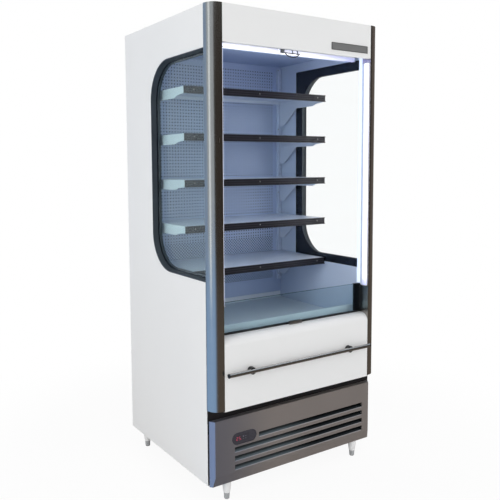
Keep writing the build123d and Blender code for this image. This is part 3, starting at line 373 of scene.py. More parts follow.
# Painted shade: the liner behind the duct panel is drawn near black, and shows through the holes.
tree, place, shader, tone = painted(liner_coat)
over(tree, shader, tone, ramp_along(tree, place, "Y", duct_rear + shade_from, duct_rear + shade_to), "#0C0F14")
print("uprights cover", upright_shade_width / MM, "mm")

# %% Painted shade on the louvres of the grille, and a painted reflection at its left end
face_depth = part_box("base_grille")[0].y
louvre_from = 3.0 * MM
louvre_limits = [("X", -334 * MM, 1), ("X", 389 * MM, -1), ("Z", 125 * MM, 1), ("Z", 263 * MM, -1)]
soft_edge = 0.5 * MM
shade_darkens_from, shade_darkens_to = -0.12, 0.12
painted_reflection_from, painted_reflection_to = -0.10, -0.44
tree, place, shader, tone = painted(grille_coat)
inside = ramp_along(tree, place, "Y", face_depth + louvre_from * 0.5, face_depth + louvre_from)
for axis, limit, way in louvre_limits:
    within = ramp_along(tree, place, axis, limit - way * soft_edge, limit + way * soft_edge, "LINEAR")
    inside = add_node(tree, "Math", {0: inside, 1: within}, operation="MULTIPLY").outputs["Value"]
# Painted shade on the louvres, darker towards the right.
shade_rightward = ramp_along(tree, place, "X", shade_darkens_from, shade_darkens_to)
shade = add_node(tree, "Mix", {FACTOR: shade_rightward, FIRST: "#5A6265", SECOND: "#1B2023"}, data_type="RGBA")
# Painted reflection: a cooler grey over the grille towards its left end.
tone = over(tree, shader, tone, ramp_along(tree, place, "X", painted_reflection_from, painted_reflection_to), "#8C8C96")
over(tree, shader, tone, inside, shade.outputs[BLEND])
print("louvres from", louvre_from / MM, "mm behind the face")

# %% [markdown]
# ## Foam
# The walls are filled with polyurethane foam. It only shows at the cut-outs, as a yellow skin full of
# small cells. A Voronoi bump in 2 mm cells gives them, and a soft noise the yellowing.

# %% Polyurethane foam
foam_cell = 2.2
foam = moulded("polyurethane_foam", "#D9C48A", "#C9AE6C", 0.72, 0.8, foam_cell)
print("foam cells", foam_cell, "mm")

# %% [markdown]
# ## Glass
# Toughened float glass is clear face on and sea green along its cut edges, because iron in it takes a
# little red out of light that travels far inside. Cycles would make the shelves behind two panes
# almost dark, as it finds few ways for lamp light through a refracting surface. So for shadow rays
# the glass is a plain transparent film. The panes carry an anti-reflective coat, so that goods show
# and not the street. It is drawn as a lower index of refraction, which mirrors less. Only the low
# front glass shows a cut edge; on the side windows it is hidden, so their edge starts out of reach.

# %% Float glass
plain_ior = 1.30
coated_ior = 1.10
veiled_ior = 1.17
smear_size = 120.0
no_edge = 9.0


def float_glass(name, tint, edge, edge_from, film, ior):
    """Glass with its tint, and the green of its top edge above a height in metres."""
    material, tree, place = start_material(name)
    axes = add_node(tree, "SeparateXYZ", {"Vector": place})
    above = add_node(tree, "Math", {0: axes.outputs["Z"], 1: edge_from}, operation="GREATER_THAN")
    tone = add_node(tree, "Mix", {FACTOR: above.outputs["Value"], FIRST: tint, SECOND: edge},
                    data_type="RGBA")
    smear = add_node(tree, "TexNoise", {"Vector": place, "Scale": grain(smear_size), "Detail": 5.0})
    rough = add_node(tree, "MapRange", {"Value": smear.outputs["Fac"], "To Min": 0.0, "To Max": 0.03})
    pane = add_node(tree, "BsdfPrincipled", {
        "Base Color": tone.outputs[BLEND], "Roughness": rough.outputs["Result"], "IOR": ior,
        "Transmission Weight": 1.0})
    clear = add_node(tree, "BsdfTransparent", {"Color": film})
    ray = add_node(tree, "LightPath").outputs["Is Shadow Ray"]
    mix = add_node(tree, "MixShader", {0: ray, 1: pane.outputs["BSDF"], 2: clear.outputs["BSDF"]})
    end_material(tree, mix.outputs["Shader"])
    return material


glass_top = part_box("front_glass")[1].z
edge_band = 1.2 * MM
front_pane = float_glass("toughened_float_glass", "#D6E3E7", "#3F6F66", glass_top - edge_band,
                         "#EAF6F3", plain_ior)
slant_pane = float_glass("tinted_insulating_glass", "#F0F6F4", "#F0F6F4", no_edge, "#F6FAFA", veiled_ior)
clear_pane = float_glass("low_iron_insulating_glass", "#FDFEFE", "#FDFEFE", no_edge, "#FDFEFE", coated_ior)
print("front glass up to", round(glass_top, 3))

# %% [markdown]
# ## Light of the lamps
# Each lamp is a row of diodes behind a milky diffuser. The diffuser is white in the middle and falls
# off to a violet blue at its sides and at the end, where only stray light of the last diode arrives.
# Emission that fades by distance from the lens's middle line gives both. The eye would see no colour
# in a lens over four times as bright as white paper, so camera rays see it just white, and all others
# get its full strength.

# %% Diffusers
lamp_strength = 4.3
seen_strength = 0.98


def diffuser(name, lens, along, across, fade):
    """A glowing lens: lens is its box, along and across its axes, fade the length of its dim end."""
    low, high = lens
    material, tree, place = start_material(name)
    axes = add_node(tree, "SeparateXYZ", {"Vector": place})
    middle = (low[across] + high[across]) / 2
    half = (high[across] - low[across]) / 2
    off = add_node(tree, "Math", {0: axes.outputs["XYZ"[across]], 1: middle}, operation="SUBTRACT")
    away = add_node(tree, "Math", {0: off.outputs["Value"]}, operation="ABSOLUTE")
    edge = add_node(tree, "MapRange", {"Value": away.outputs["Value"], "From Min": half * 0.6,
                                       "From Max": half, "To Min": 1.0, "To Max": 0.6})
    near = low[along] if along == 2 else high[along]
    step = fade if along == 2 else -fade
    end = add_node(tree, "MapRange", {"Value": axes.outputs["XYZ"[along]], "From Min": near,
                                      "From Max": near + step, "To Min": 0.08, "To Max": 1.0},
                   interpolation_type="SMOOTHSTEP")
    glow = add_node(tree, "Math", {0: edge.outputs["Result"], 1: end.outputs["Result"]},
                    operation="MULTIPLY").outputs["Value"]
    colour = add_node(tree, "Mix", {FACTOR: glow, FIRST: "#6C74F0", SECOND: "#FFFFFF"}, data_type="RGBA")
    level = add_node(tree, "MapRange", {"Value": glow, "To Min": 0.3, "To Max": 1.0})
    ray = add_node(tree, "LightPath").outputs["Is Camera Ray"]
    full = add_node(tree, "MapRange", {"Value": ray, "To Min": lamp_strength, "To Max": seen_strength})
    power = add_node(tree, "Math", {0: level.outputs["Result"], 1: full.outputs["Result"]},
                     operation="MULTIPLY")
    lens_shader = add_node(tree, "BsdfPrincipled", {
        "Base Color": "#EEF0F6", "Roughness": 0.35, "Emission Color": colour.outputs[BLEND],
        "Emission Strength": power.outputs["Value"]})
    end_material(tree, lens_shader.outputs["BSDF"])
    return material


# %% [markdown]
# ## Curtain web
# The night curtain is an aluminised polyester weave. Its threads are 0.4 mm apart, too fine to show,
# so they are drawn 2 mm apart: two crossed waves, one for the warp and one for the weft.

# %% Aluminised weave
thread_size = 2.0
weave, tree, place = start_material("aluminised_polyester_weave")
bands = grain(thread_size) * math.pi / 10
warp, weft = [add_node(tree, "TexWave", {"Vector": place, "Scale": bands, "Distortion": 0.4},
                       bands_direction=way).outputs["Fac"] for way in "XZ"]
cross = add_node(tree, "Math", {0: warp, 1: weft}, operation="MULTIPLY").outputs["Value"]
tone = add_node(tree, "Mix", {FACTOR: cross, FIRST: "#8E9196", SECOND: "#B4B7BC"}, data_type="RGBA")
relief = add_node(tree, "Bump", {"Height": cross, "Strength": 0.3, "Distance": 0.2 * MM})
web = add_node(tree, "BsdfPrincipled", {
    "Base Color": tone.outputs[BLEND], "Metallic": 0.35, "Roughness": 0.5, "Sheen Weight": 0.15,
    "Normal": relief.outputs["Normal"]})
end_material(tree, web.outputs["BSDF"])
print("threads", thread_size, "mm")

# %% [markdown]
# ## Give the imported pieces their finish
# A table of finishes, each with the nodes that have it, reads like a paint schedule. The same table
# tells at once if a node was forgotten.

# %% Paint schedule
shelves = [f"shelf_{n}" for n in range(1, 6)]
price_rails = [f"price_rail_{n}" for n in range(1, 6)]
schedule = [
    (white_coat, ["side_panel_left", "side_panel_right", "roof_panel", "header_panel", "bumper_panel"]),
    (shelf_coat, shelves),
    (deck_coat, ["deck_pan"]),
    (liner_coat, ["inner_liner", "duct_panel", "shelf_uprights"]),
    (wall_coat_painted_glare, ["side_liner_left", "side_liner_right"]),
    (galvanised, ["back_panel", "base_pan", "fan_shroud", "fan_plate"]),
    (foam, ["cabinet_foam"]),
    (bronze, ["corner_post_left", "corner_post_right"]),
    (grille_coat, ["base_grille"]),
    (black_coat, ["recess_panel"]),
    (enamel, ["compressor"]),
    (natural, ["curtain_cassette", "curtain_bar", "led_lamps"]),
    (stainless_rail, ["bumper_rail"]),
    (dark_wire, ["pull_ring"]),
    (stainless, ["curtain_catch"]),
    (badge_coat, ["badge_plate"]),
    (leg_coat, ["leg_bodies"]),
    (fin_metal, ["evaporator_coil", "condenser_coil"]),
    (black_abs, ["glass_frame", "rail_fittings", "drain_pan", "power_inlet"]),
    (rail_pvc, price_rails),
    (controller_abs, ["controller", "controller_key"]),
    (comb_white_painted_glow, ["honeycomb"]),
    (foot_nylon, ["foot_front_left", "foot_front_right", "foot_rear_left", "foot_rear_right"]),
    (fan_nylon, ["condenser_fan", "evaporator_fan"]),
    (rubber, ["window_gaskets"]),
    (weave, ["curtain_web", "curtain_roller"]),
    (front_pane, ["front_glass"]),
    (slant_pane, ["window_glass_left"]),
    (clear_pane, ["window_glass_right"]),
]
for finish, names in schedule:
    for name in names:
        for slot in nodes[name].material_slots:
            slot.material = finish
forgotten = set(nodes) - {name for _, names in schedule for name in names}
print("finished nodes", len(nodes) - len(forgotten), "forgotten", sorted(forgotten))

# %% [markdown]
# ## From a bmesh to a piece
# Every new piece ends the same way: its mesh becomes an object at the origin, its round stretches are
# shaded smooth up to an angle, and it rides on the body that carries it.

# %% Piece helpers
crease = math.radians(35)
stand_up = Matrix.Rotation(math.pi / 2, 3, "X")


def object_of(name, mesh, material):
    """Makes a bmesh an object in the scene."""
    data = bpy.data.meshes.new(name)
    mesh.to_mesh(data)
    mesh.free()
    data.materials.append(material)
    made = bpy.data.objects.new(name, data)
    bpy.context.scene.collection.objects.link(made)
    return made


def add_piece(name, mesh, material, body, replaced=()):
    """Makes a bmesh a piece that rides on a body, in place of the nodes it replaces."""
    piece = object_of(name, mesh, material)
    data = piece.data
    data.shade_smooth()
    data.set_sharp_from_angle(angle=crease)
    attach(piece, body)
    if replaced:
        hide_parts(*replaced)
    print(name, len(data.polygons), "faces on", body)
    return piece


def verts_of(result):
    """The vertices among what an operator returned."""
    return [part for part in result["geom"] if isinstance(part, bmesh.types.BMVert)]


def added(mesh, held):
    """Everything in a bmesh that isn't held and touches no held vertex."""
    return [part for group in (mesh.verts, mesh.edges, mesh.faces) for part in group
            if part not in held and not held.intersection(getattr(part, "verts", ()))]


def edges_at(mesh, axis, value):
    """Open edges whose two ends lie at one coordinate."""
    return [e for e in mesh.edges if e.is_boundary
            and all(abs(v.co[axis] - value) < 1e-6 for v in e.verts)]


# %% [markdown]
# ## Perforated duct panel
# Cold air comes through a sheet punched with small holes: on a square grid down to the fourth shelf,
# and with a hole in every gap of the grid below it, where more air is wanted. The holes are drawn
# about a millimetre wider than real, so that they show from some steps away. Holes painted on by a
# texture would stay flat at a glance, so they are cut: one cell is a rectangle whose rim is bridged to
# an eight-sided hole, cells are copied into a row, and rows into a field. Its open edges are then
# drawn out to the panel's real size and folded forward along the ceiling, and the sheet gets its wall.

# %% Punched field, folded sheet
hole_pitch = 15.4 * MM
hole_radius = 3.6 * MM
hole_columns = 46
first_row = 1869 * MM
square_rows = 57
dense_rows = 30
sheet_wall = 1.2 * MM

duct_low, duct_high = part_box("duct_panel")
comb_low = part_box("honeycomb")[0]
duct_face = duct_high.y - sheet_wall


def punched_row(mesh, tall, columns, across, down):
    """A row of cells with a hole each. across and down place the middle of its first cell."""
    held = set(mesh.verts)
    bmesh.ops.create_grid(mesh, x_segments=2, y_segments=2, size=hole_pitch / 2)
    rim = [v for v in mesh.verts if v not in held]
    bmesh.ops.delete(mesh, geom=[min(rim, key=lambda v: v.co.length)], context="VERTS")
    rim = [v for v in rim if v.is_valid]
    bmesh.ops.scale(mesh, verts=rim, vec=(1, tall / hole_pitch, 1))
    hole = bmesh.ops.create_circle(mesh, cap_ends=False, segments=8, radius=hole_radius)["verts"]
    loops = {e for v in rim + hole for e in v.link_edges}
    bmesh.ops.bridge_loops(mesh, edges=list(loops))
    cell = added(mesh, held)
    bmesh.ops.translate(mesh, verts=rim + hole, vec=(across, -down, 0))
    for column in range(1, columns):
        copy = bmesh.ops.duplicate(mesh, geom=cell)
        bmesh.ops.translate(mesh, verts=verts_of(copy), vec=(column * hole_pitch, 0, 0))
    made = [v for v in mesh.verts if v not in held]
    bmesh.ops.remove_doubles(mesh, verts=made, dist=1e-6)


def repeat(mesh, held, times, down):
    """Copies everything that isn't held downwards."""
    row = added(mesh, held)
    for step in range(1, times):
        copy = bmesh.ops.duplicate(mesh, geom=row)
        bmesh.ops.translate(mesh, verts=verts_of(copy), vec=(0, -step * down, 0))
    bmesh.ops.remove_doubles(mesh, verts=[v for v in mesh.verts if v not in held], dist=1e-6)


half_pitch = hole_pitch / 2
left_cell = -hole_pitch * (hole_columns - 1) / 2
panel = bmesh.new()
punched_row(panel, hole_pitch, hole_columns, left_cell, 0)
repeat(panel, set(), square_rows, hole_pitch)
upper = set(panel.verts)
dense_top = hole_pitch * (square_rows - 0.5)
punched_row(panel, half_pitch, hole_columns, left_cell, dense_top + half_pitch / 2)
punched_row(panel, half_pitch, hole_columns - 1, left_cell + half_pitch, dense_top + half_pitch * 1.5)
for side in (-1, 1):
    end = bmesh.ops.create_grid(panel, x_segments=1, y_segments=1, size=half_pitch / 2)["verts"]
    bmesh.ops.translate(panel, verts=end, vec=(side * (hole_columns - 0.5) * half_pitch,
                                               -dense_top - half_pitch * 1.5, 0))
repeat(panel, upper, dense_rows // 2, hole_pitch)
bmesh.ops.remove_doubles(panel, verts=panel.verts, dist=1e-6)
bmesh.ops.rotate(panel, verts=panel.verts, cent=(0, 0, 0), matrix=stand_up)
bmesh.ops.translate(panel, verts=panel.verts, vec=(0, duct_face, first_row))


def draw_out(mesh, axis, edge_at, moves):
    """Draws the open edges at one end of a sheet out, fold by fold."""
    edges = edges_at(mesh, axis, edge_at)
    for move in moves:
        drawn = bmesh.ops.extrude_edge_only(mesh, edges=edges)
        edges = [part for part in drawn["geom"] if isinstance(part, bmesh.types.BMEdge)]
        bmesh.ops.translate(mesh, verts=list({v for e in edges for v in e.verts}), vec=move)
    return edges


field_side = hole_pitch * hole_columns / 2
field_top = first_row + hole_pitch / 2
field_foot = first_row - dense_top - half_pitch * dense_rows
draw_out(panel, 0, -field_side, [(duct_low.x + field_side, 0, 0)])
draw_out(panel, 0, field_side, [(duct_high.x - field_side, 0, 0)])
draw_out(panel, 2, field_foot, [(0, 0, duct_low.z - field_foot)])
draw_out(panel, 2, field_top, [(0, 0, duct_high.z - sheet_wall - field_top),
                               (0, duct_low.y + sheet_wall - duct_face, 0),
                               (0, 0, comb_low.z - duct_high.z + sheet_wall)])
bmesh.ops.recalc_face_normals(panel, faces=panel.faces)
bmesh.ops.solidify(panel, geom=list(panel.faces), thickness=sheet_wall)
add_piece("perforated_duct", panel, duct_coat, "cabinet", ["duct_panel"])
print("holes", hole_columns * (square_rows + dense_rows) - dense_rows // 2, "at", hole_pitch / MM, "mm")

# %% [markdown]
# ## Printed borders of the side windows
# The edge of an insulating unit is printed with black ceramic ink, which hides the sealant. Each pane
# has a band on its inner face, with a square outline and a clear middle that is round at the rear. A
# grid would need many cuts, so a rounded outline is drawn inside a square one, and the room between
# the two is filled and given the thickness of the ink.

# %% Ink borders
frit_thick = 0.2 * MM
frit_off = 0.1 * MM
frit_inset = 17 * MM
frit_round = 148 * MM
corner_steps = 12
front_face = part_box("header_panel")[0].y
window_rear = front_face + 511 * MM
window_low = 920 * MM
window_high = 1834 * MM


def rectangle(mesh, y0, y1, z0, z1):
    """A closed line of four edges in the YZ plane."""
    corners = [mesh.verts.new((0, y, z)) for y, z in ((y0, z0), (y1, z0), (y1, z1), (y0, z1))]
    return [mesh.edges.new((corners[i], corners[(i + 1) % 4])) for i in range(4)]


def ink_border(name, pane, x):
    """A printed band on one face of a pane."""
    low, high = pane
    mesh = bmesh.new()
    rectangle(mesh, low.y, high.y, low.z, high.z)
    clear = rectangle(mesh, low.y + 2 * MM, window_rear - frit_inset,
                      window_low + frit_inset, window_high - frit_inset)
    rear = [v for v in {v for e in clear for v in e.verts} if v.co.y > window_rear - frit_inset - MM]
    bmesh.ops.bevel(mesh, geom=rear, offset=frit_round, segments=corner_steps, profile=0.5,
                    affect="VERTICES", material=-1)
    bmesh.ops.triangle_fill(mesh, edges=mesh.edges, use_beauty=True)
    bmesh.ops.recalc_face_normals(mesh, faces=mesh.faces)
    bmesh.ops.solidify(mesh, geom=list(mesh.faces), thickness=frit_thick)
    span = [v.co.x for v in mesh.verts]
    bmesh.ops.translate(mesh, verts=mesh.verts, vec=(x - (min(span) + max(span)) / 2, 0, 0))
    return add_piece(name, mesh, frit_ink, "cabinet")


pane_thick = 4 * MM
for side, sign in (("left", -1), ("right", 1)):
    pane_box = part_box("window_glass_" + side)
    outer = pane_box[0].x if sign < 0 else pane_box[1].x
    inner = pane_box[1].x if sign < 0 else pane_box[0].x
    film = pane_thick + frit_off + frit_thick / 2
    ink_border("outer_ink_border_" + side, pane_box, outer - sign * film)
    ink_border("inner_ink_border_" + side, pane_box, inner + sign * film)

# %% [markdown]
# ## Lamps
# A lamp is an aluminium channel with a domed diffuser clipped into it and a cap at each end. One
# function makes all three from their boxes: the channel is the box's back, and the lens is a half
# round drawn along it, whose flat ends the caps cover.

# %% Lamp channels, lenses and caps
channel_share = 0.25
dome_steps = 10
cap_length = 4 * MM


def half_round(length, wide, tall):
    """A dome over the XY plane, along X: half an ellipse drawn along, with flat ends."""
    mesh = bmesh.new()
    arch = [mesh.verts.new((0, -wide / 2, 0))]
    spun = bmesh.ops.spin(mesh, geom=arch, cent=(0, 0, 0), axis=(1, 0, 0), angle=-math.pi,
                          steps=dome_steps, use_duplicate=False)
    ends = list(mesh.verts)
    mesh.edges.new((ends[0], spun["geom_last"][0]))
    bmesh.ops.edgenet_fill(mesh, edges=mesh.edges)
    drawn = bmesh.ops.extrude_face_region(mesh, geom=list(mesh.faces))
    bmesh.ops.translate(mesh, verts=verts_of(drawn), vec=(length, 0, 0))
    bmesh.ops.scale(mesh, verts=mesh.verts, vec=(1, 1, 2 * tall / wide))
    bmesh.ops.recalc_face_normals(mesh, faces=mesh.faces)
    return mesh


def block(size, at, radius=0.0):
    """A block with its edges rounded."""
    mesh = bmesh.new()
    bmesh.ops.create_cube(mesh, size=1.0)
    bmesh.ops.scale(mesh, verts=mesh.verts, vec=size)
    if radius:
        bmesh.ops.bevel(mesh, geom=list(mesh.edges), offset=radius, segments=3, profile=0.5,
                        affect="EDGES", material=-1)
    bmesh.ops.translate(mesh, verts=mesh.verts, vec=at)
    return mesh


def lamp(name, base, along, out, length, wide, deep, fade_from, flange=0.0):
    """A channel, lens and two caps. base is the middle of the channel's back, along and out unit axes."""
    turn = Matrix((along, out.cross(along), out)).transposed()
    place = Matrix.Translation(base) @ turn.to_4x4()
    back = deep * channel_share
    channel = block((length, wide, back), (0, 0, back / 2), 0.8 * MM)
    bmesh.ops.transform(channel, matrix=place, verts=channel.verts)
    add_piece(name + "_channel", channel, leg_coat, "cabinet", ["led_lamps"])
    # The reflector plate's lacquer carries a painted glow.
    if flange:
        plate = block((length, abs(flange), MM), (0, 0, MM / 2), 0.3 * MM)
        bmesh.ops.translate(plate, verts=plate.verts,
                            vec=(0, math.copysign((wide + abs(flange)) / 2, flange), 0))
        bmesh.ops.transform(plate, matrix=place, verts=plate.verts)
        add_piece(name + "_reflector", plate, reflector_coat_painted_glow, "cabinet", ["led_lamps"])
    lens_length = length - 2 * cap_length
    lens = half_round(lens_length, wide - 2 * MM, deep - back)
    bmesh.ops.translate(lens, verts=lens.verts, vec=(-lens_length / 2, 0, back))
    bmesh.ops.transform(lens, matrix=place, verts=lens.verts)
    corners = [v.co.copy() for v in lens.verts]
    reach = [[f(c[i] for c in corners) for i in range(3)] for f in (min, max)]
    axis = max(range(3), key=lambda i: abs(along[i]))
    broad = max((i for i in range(3) if i != axis), key=lambda i: reach[1][i] - reach[0][i])
    glow = diffuser(name + "_milky_acrylic", reach, axis, broad, fade_from)
    add_piece(name + "_lens", lens, glow, "cabinet", ["led_lamps"])
    caps = bmesh.new()
    for end in (-1, 1):
        cap = block((cap_length, wide, deep), (end * (length - cap_length) / 2, 0, deep / 2), 1.2 * MM)
        bmesh.ops.transform(cap, matrix=place, verts=cap.verts)
        data = bpy.data.meshes.new("cap")
        cap.to_mesh(data)
        cap.free()
        caps.from_mesh(data)
        bpy.data.meshes.remove(data)
    add_piece(name + "_caps", caps, white_pp, "cabinet", ["led_lamps"])


header_lamp_wide = 24 * MM
header_lamp_deep = 22 * MM
header_lamp_y = front_face + 104 * MM
header_lamp_top = 1874 * MM
header_lamp_long = 780 * MM
header_fade = 290 * MM
lamp("header_lamp", Vector((0, header_lamp_y, header_lamp_top)), Vector((1, 0, 0)), Vector((0, 0, -1)),
     header_lamp_long, header_lamp_wide, header_lamp_deep, header_fade)
post_lamp_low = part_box("led_lamps")[0].z
post_lamp_high = 1838 * MM
post_lamp_x = 395 * MM
post_lamp_y = front_face + 20 * MM
post_lamp_wide = 30 * MM
post_lamp_deep = 10 * MM
post_fade = 45 * MM
reflector_wide = 14 * MM
for side, sign in (("left", -1), ("right", 1)):
    foot = Vector((sign * post_lamp_x, post_lamp_y, (post_lamp_low + post_lamp_high) / 2))
    lamp("post_lamp_" + side, foot, Vector((0, 0, 1)), Vector((-sign, 0, 0)),
         post_lamp_high - post_lamp_low, post_lamp_wide, post_lamp_deep, post_fade, sign * reflector_wide)

# %% [markdown]
# ## Curtain web
# Only the strip between the roller and the bar is out when the curtain is up. On the real curtain it
# grows as the bar is pulled down; here it is a flat sheet of faces, made in place of the imported web.

# %% Curtain strip
web_low, web_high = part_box("curtain_web")
web_columns = 50
web_rows = 12
strip = bmesh.new()
bmesh.ops.create_grid(strip, x_segments=web_columns, y_segments=web_rows, size=0.5)
bmesh.ops.scale(strip, verts=strip.verts, vec=(web_high.x - web_low.x, web_high.z - web_low.z, 1))
bmesh.ops.rotate(strip, verts=strip.verts, cent=(0, 0, 0), matrix=stand_up)
bmesh.ops.translate(strip, verts=strip.verts, vec=(web_low + web_high) / 2)
curtain_strip = object_of("curtain_strip", strip, weave)
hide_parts("curtain_web")
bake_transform(curtain_strip)
print("web strip", round(web_high.x - web_low.x, 3), "by", round(web_high.z - web_low.z, 4), "m")

# %% [markdown]
# ## Screws
# Small pan-head screws hold the price rails to the shelves and the uprights to the duct panel. A head
# is a flattened ball, half sunk in its sheet. There are two dozen, so each has only a few faces.

# %% Pan-head screws
head_radius = 3.0 * MM
head_height = 1.4 * MM
rail_screw_x = (-345, 0, 347)
upright_screw_x = (-380, 380)
upright_screw_z = (1884, 1572, 1235, 790)


def screw_heads(name, places, toward, body):
    """Domed heads at these places, all facing one way."""
    mesh = bmesh.new()
    turn = toward.to_track_quat("Z", "Y").to_matrix().to_4x4()
    for place_of_head in places:
        bmesh.ops.create_uvsphere(mesh, u_segments=10, v_segments=6, radius=head_radius,
                                  matrix=Matrix.Translation(place_of_head) @ turn
                                  @ Matrix.Diagonal((1, 1, head_height / head_radius, 1)))
    add_piece(name, mesh, stainless, body)


for number in range(1, 6):
    rail_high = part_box(f"price_rail_{number}")[1]
    screw_z = rail_high.z - 14 * MM
    web_face = rail_high.y - 1.5 * MM
    screw_heads(f"rail_screws_{number}", [Vector((x * MM, web_face, screw_z)) for x in rail_screw_x],
                Vector((0, -1, 0)), f"shelf_{number}_set")
screw_heads("upright_screws", [Vector((x * MM, uprights[0].y, z * MM)) for x in upright_screw_x
                               for z in upright_screw_z], Vector((0, -1, 0)), "cabinet")

# %% [markdown]
# ## Temperature display
# Behind the controller's face a red seven-segment display shines through a smoked window. Each
# segment is a slim hexagonal bar: a circle of six points, stretched. Beside it are the faint marks
# that show what runs. They are plain shapes, a ring, a bar and a triangle.

# %% Display window, digits and marks
control_low, control_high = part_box("controller")
control_x = (control_low.x + control_high.x) / 2
control_z = (control_low.z + control_high.z) / 2
control_face = control_low.y + 0.8 * MM
digit_height = 13 * MM
digit_width = 7 * MM
segment_thick = 1.8 * MM
uneven_size = 3.0
lit = {"2": "abdeg", "5": "acdfg"}
ends = {"a": (0, 1, 0), "g": (0, 0.5, 0), "d": (0, 0, 0), "f": (-0.5, 0.75, 1), "b": (0.5, 0.75, 1),
        "e": (-0.5, 0.25, 1), "c": (0.5, 0.25, 1)}


def shown_glow(name, colour, strength):
    """Light through a smoked window, a little uneven along each segment."""
    material, tree, place = start_material(name)
    uneven = add_node(tree, "TexNoise", {"Vector": place, "Scale": grain(uneven_size), "Detail": 1.0})
    level = add_node(tree, "MapRange", {"Value": uneven.outputs["Fac"], "To Min": strength * 0.8,
                                        "To Max": strength * 1.2})
    shine = add_node(tree, "BsdfPrincipled", {
        "Base Color": colour, "Roughness": 0.3, "Emission Color": colour,
        "Emission Strength": level.outputs["Result"]})
    end_material(tree, shine.outputs["BSDF"])
    return material


red_glow = shown_glow("red_diode_light", "#C43A58", 0.5)
faint_glow = shown_glow("dim_diode_marks", "#6A6A76", 0.12)


def flat_shape(mesh, sides, size, at, turn=0.0):
    """A thin plate with this many sides, stretched and turned, facing the customer."""
    bmesh.ops.create_circle(mesh, cap_ends=True, segments=sides, radius=0.5,
                            matrix=Matrix.Translation(at)
                            @ Matrix.Rotation(math.pi / 2, 4, "X")
                            @ Matrix.Rotation(turn, 4, "Z")
                            @ Matrix.Diagonal((size[0], size[1], 1, 1))
                            @ Matrix.Rotation(math.pi / sides if sides == 4 else 0, 4, "Z"))


window = block((72 * MM, 0.6 * MM, 27 * MM), (0, 0, 0))
upright_edges = [e for e in window.edges if abs(e.verts[0].co.y - e.verts[1].co.y) > 0.1 * MM]
bmesh.ops.bevel(window, geom=upright_edges, offset=5 * MM, segments=6, profile=0.5, affect="EDGES",
                material=-1)
bmesh.ops.translate(window, verts=window.verts, vec=(control_x - 13 * MM, control_face - 0.3 * MM, control_z))
add_piece("display_window", window, smoked, "grille")

digits = bmesh.new()
digit_y = control_face - 0.7 * MM
for place_in_number, number in enumerate("25"):
    for letter in lit[number]:
        across, up, upright = ends[letter]
        centre_of_segment = (control_x + (-37 + 12.5 * place_in_number) * MM + across * digit_width, digit_y,
                             control_z + (up - 0.5) * digit_height)
        reach = digit_height * 0.42 if upright else digit_width * 0.85
        flat_shape(digits, 6, (reach, segment_thick), centre_of_segment, math.pi / 2 if upright else 0)
flat_shape(digits, 12, (2 * MM, 2 * MM), (control_x - 18.5 * MM, digit_y, control_z - digit_height / 2))
add_piece("display_digits", digits, red_glow, "grille")

marks = bmesh.new()
flat_shape(marks, 20, (5 * MM, 5 * MM), (control_x - 6 * MM, digit_y, control_z + 5 * MM))
flat_shape(marks, 4, (8 * MM, 2.4 * MM), (control_x + 6 * MM, digit_y, control_z + 5 * MM))
flat_shape(marks, 3, (6 * MM, 5 * MM), (control_x + 6 * MM, digit_y, control_z - 5 * MM), math.pi / 2)
flat_shape(marks, 4, (6 * MM, 2.4 * MM), (control_x - 6 * MM, digit_y, control_z - 5 * MM))
add_piece("display_marks", marks, faint_glow, "grille")

# %% [markdown]
# ## Rim of the badge plate
# The plate on the header is bare, with a raised dark rim. An inset of its front face, taken a little
# forward, gives the rim, and the middle is cut out of it.

# %% Badge rim
badge_low, badge_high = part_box("badge_plate")
rim_wide = 1.8 * MM
rim_proud = 0.6 * MM
rim = bmesh.new()
bmesh.ops.create_grid(rim, x_segments=1, y_segments=1, size=0.5)
bmesh.ops.scale(rim, verts=rim.verts, vec=(badge_high.x - badge_low.x, badge_high.z - badge_low.z, 1))
bmesh.ops.inset_individual(rim, faces=list(rim.faces), thickness=rim_wide, use_even_offset=True)
middle = max(rim.faces, key=lambda f: f.calc_area())
bmesh.ops.delete(rim, geom=[middle], context="FACES")
bmesh.ops.rotate(rim, verts=rim.verts, cent=(0, 0, 0), matrix=stand_up)
bmesh.ops.recalc_face_normals(rim, faces=rim.faces)
bmesh.ops.solidify(rim, geom=list(rim.faces), thickness=rim_proud)
rim_back = max(v.co.y for v in rim.verts)
bmesh.ops.translate(rim, verts=rim.verts, vec=((badge_low.x + badge_high.x) / 2, badge_low.y - rim_back,
                                               (badge_low.z + badge_high.z) / 2))
add_piece("badge_rim", rim, dark_wire, "cabinet")

# %% [markdown]
# ## Floor, light and camera
# A pale floor and a white world make the plain studio. The world is white for the camera, a pale blue
# in reflections, and dimmer as a lamp, so that white paint keeps its tone. Two large soft lamps shape
# the light. Metal looks like what it mirrors, so boards that only shiny surfaces see stand round the
# cabinet: dark ones in front, pale and cool ones at the side. The floor keeps the cabinet's shadow
# close to it, is plain white further out, and has a tone of its own in reflections: brown in front of
# the left post, and blue beside it.

# %% Floor
floor_size = 14.0
fibre_size = 8.0
shadow_near = 0.9
shadow_far = 1.9
shadow_lift = 0.93
post_foot = (-0.42, -0.36, 0)
front_of_post, side_of_post = -0.36, -0.76
mirrored_strength = 1.5


def bounced(tree, ray):
    """1 for a ray that was mirrored, and 0 for one that only passed through slightly rough glass."""
    return add_node(tree, "Math", {0: ray.outputs["Is Glossy Ray"], 1: ray.outputs["Is Transmission Ray"]},
                    operation="SUBTRACT", use_clamp=True).outputs["Value"]


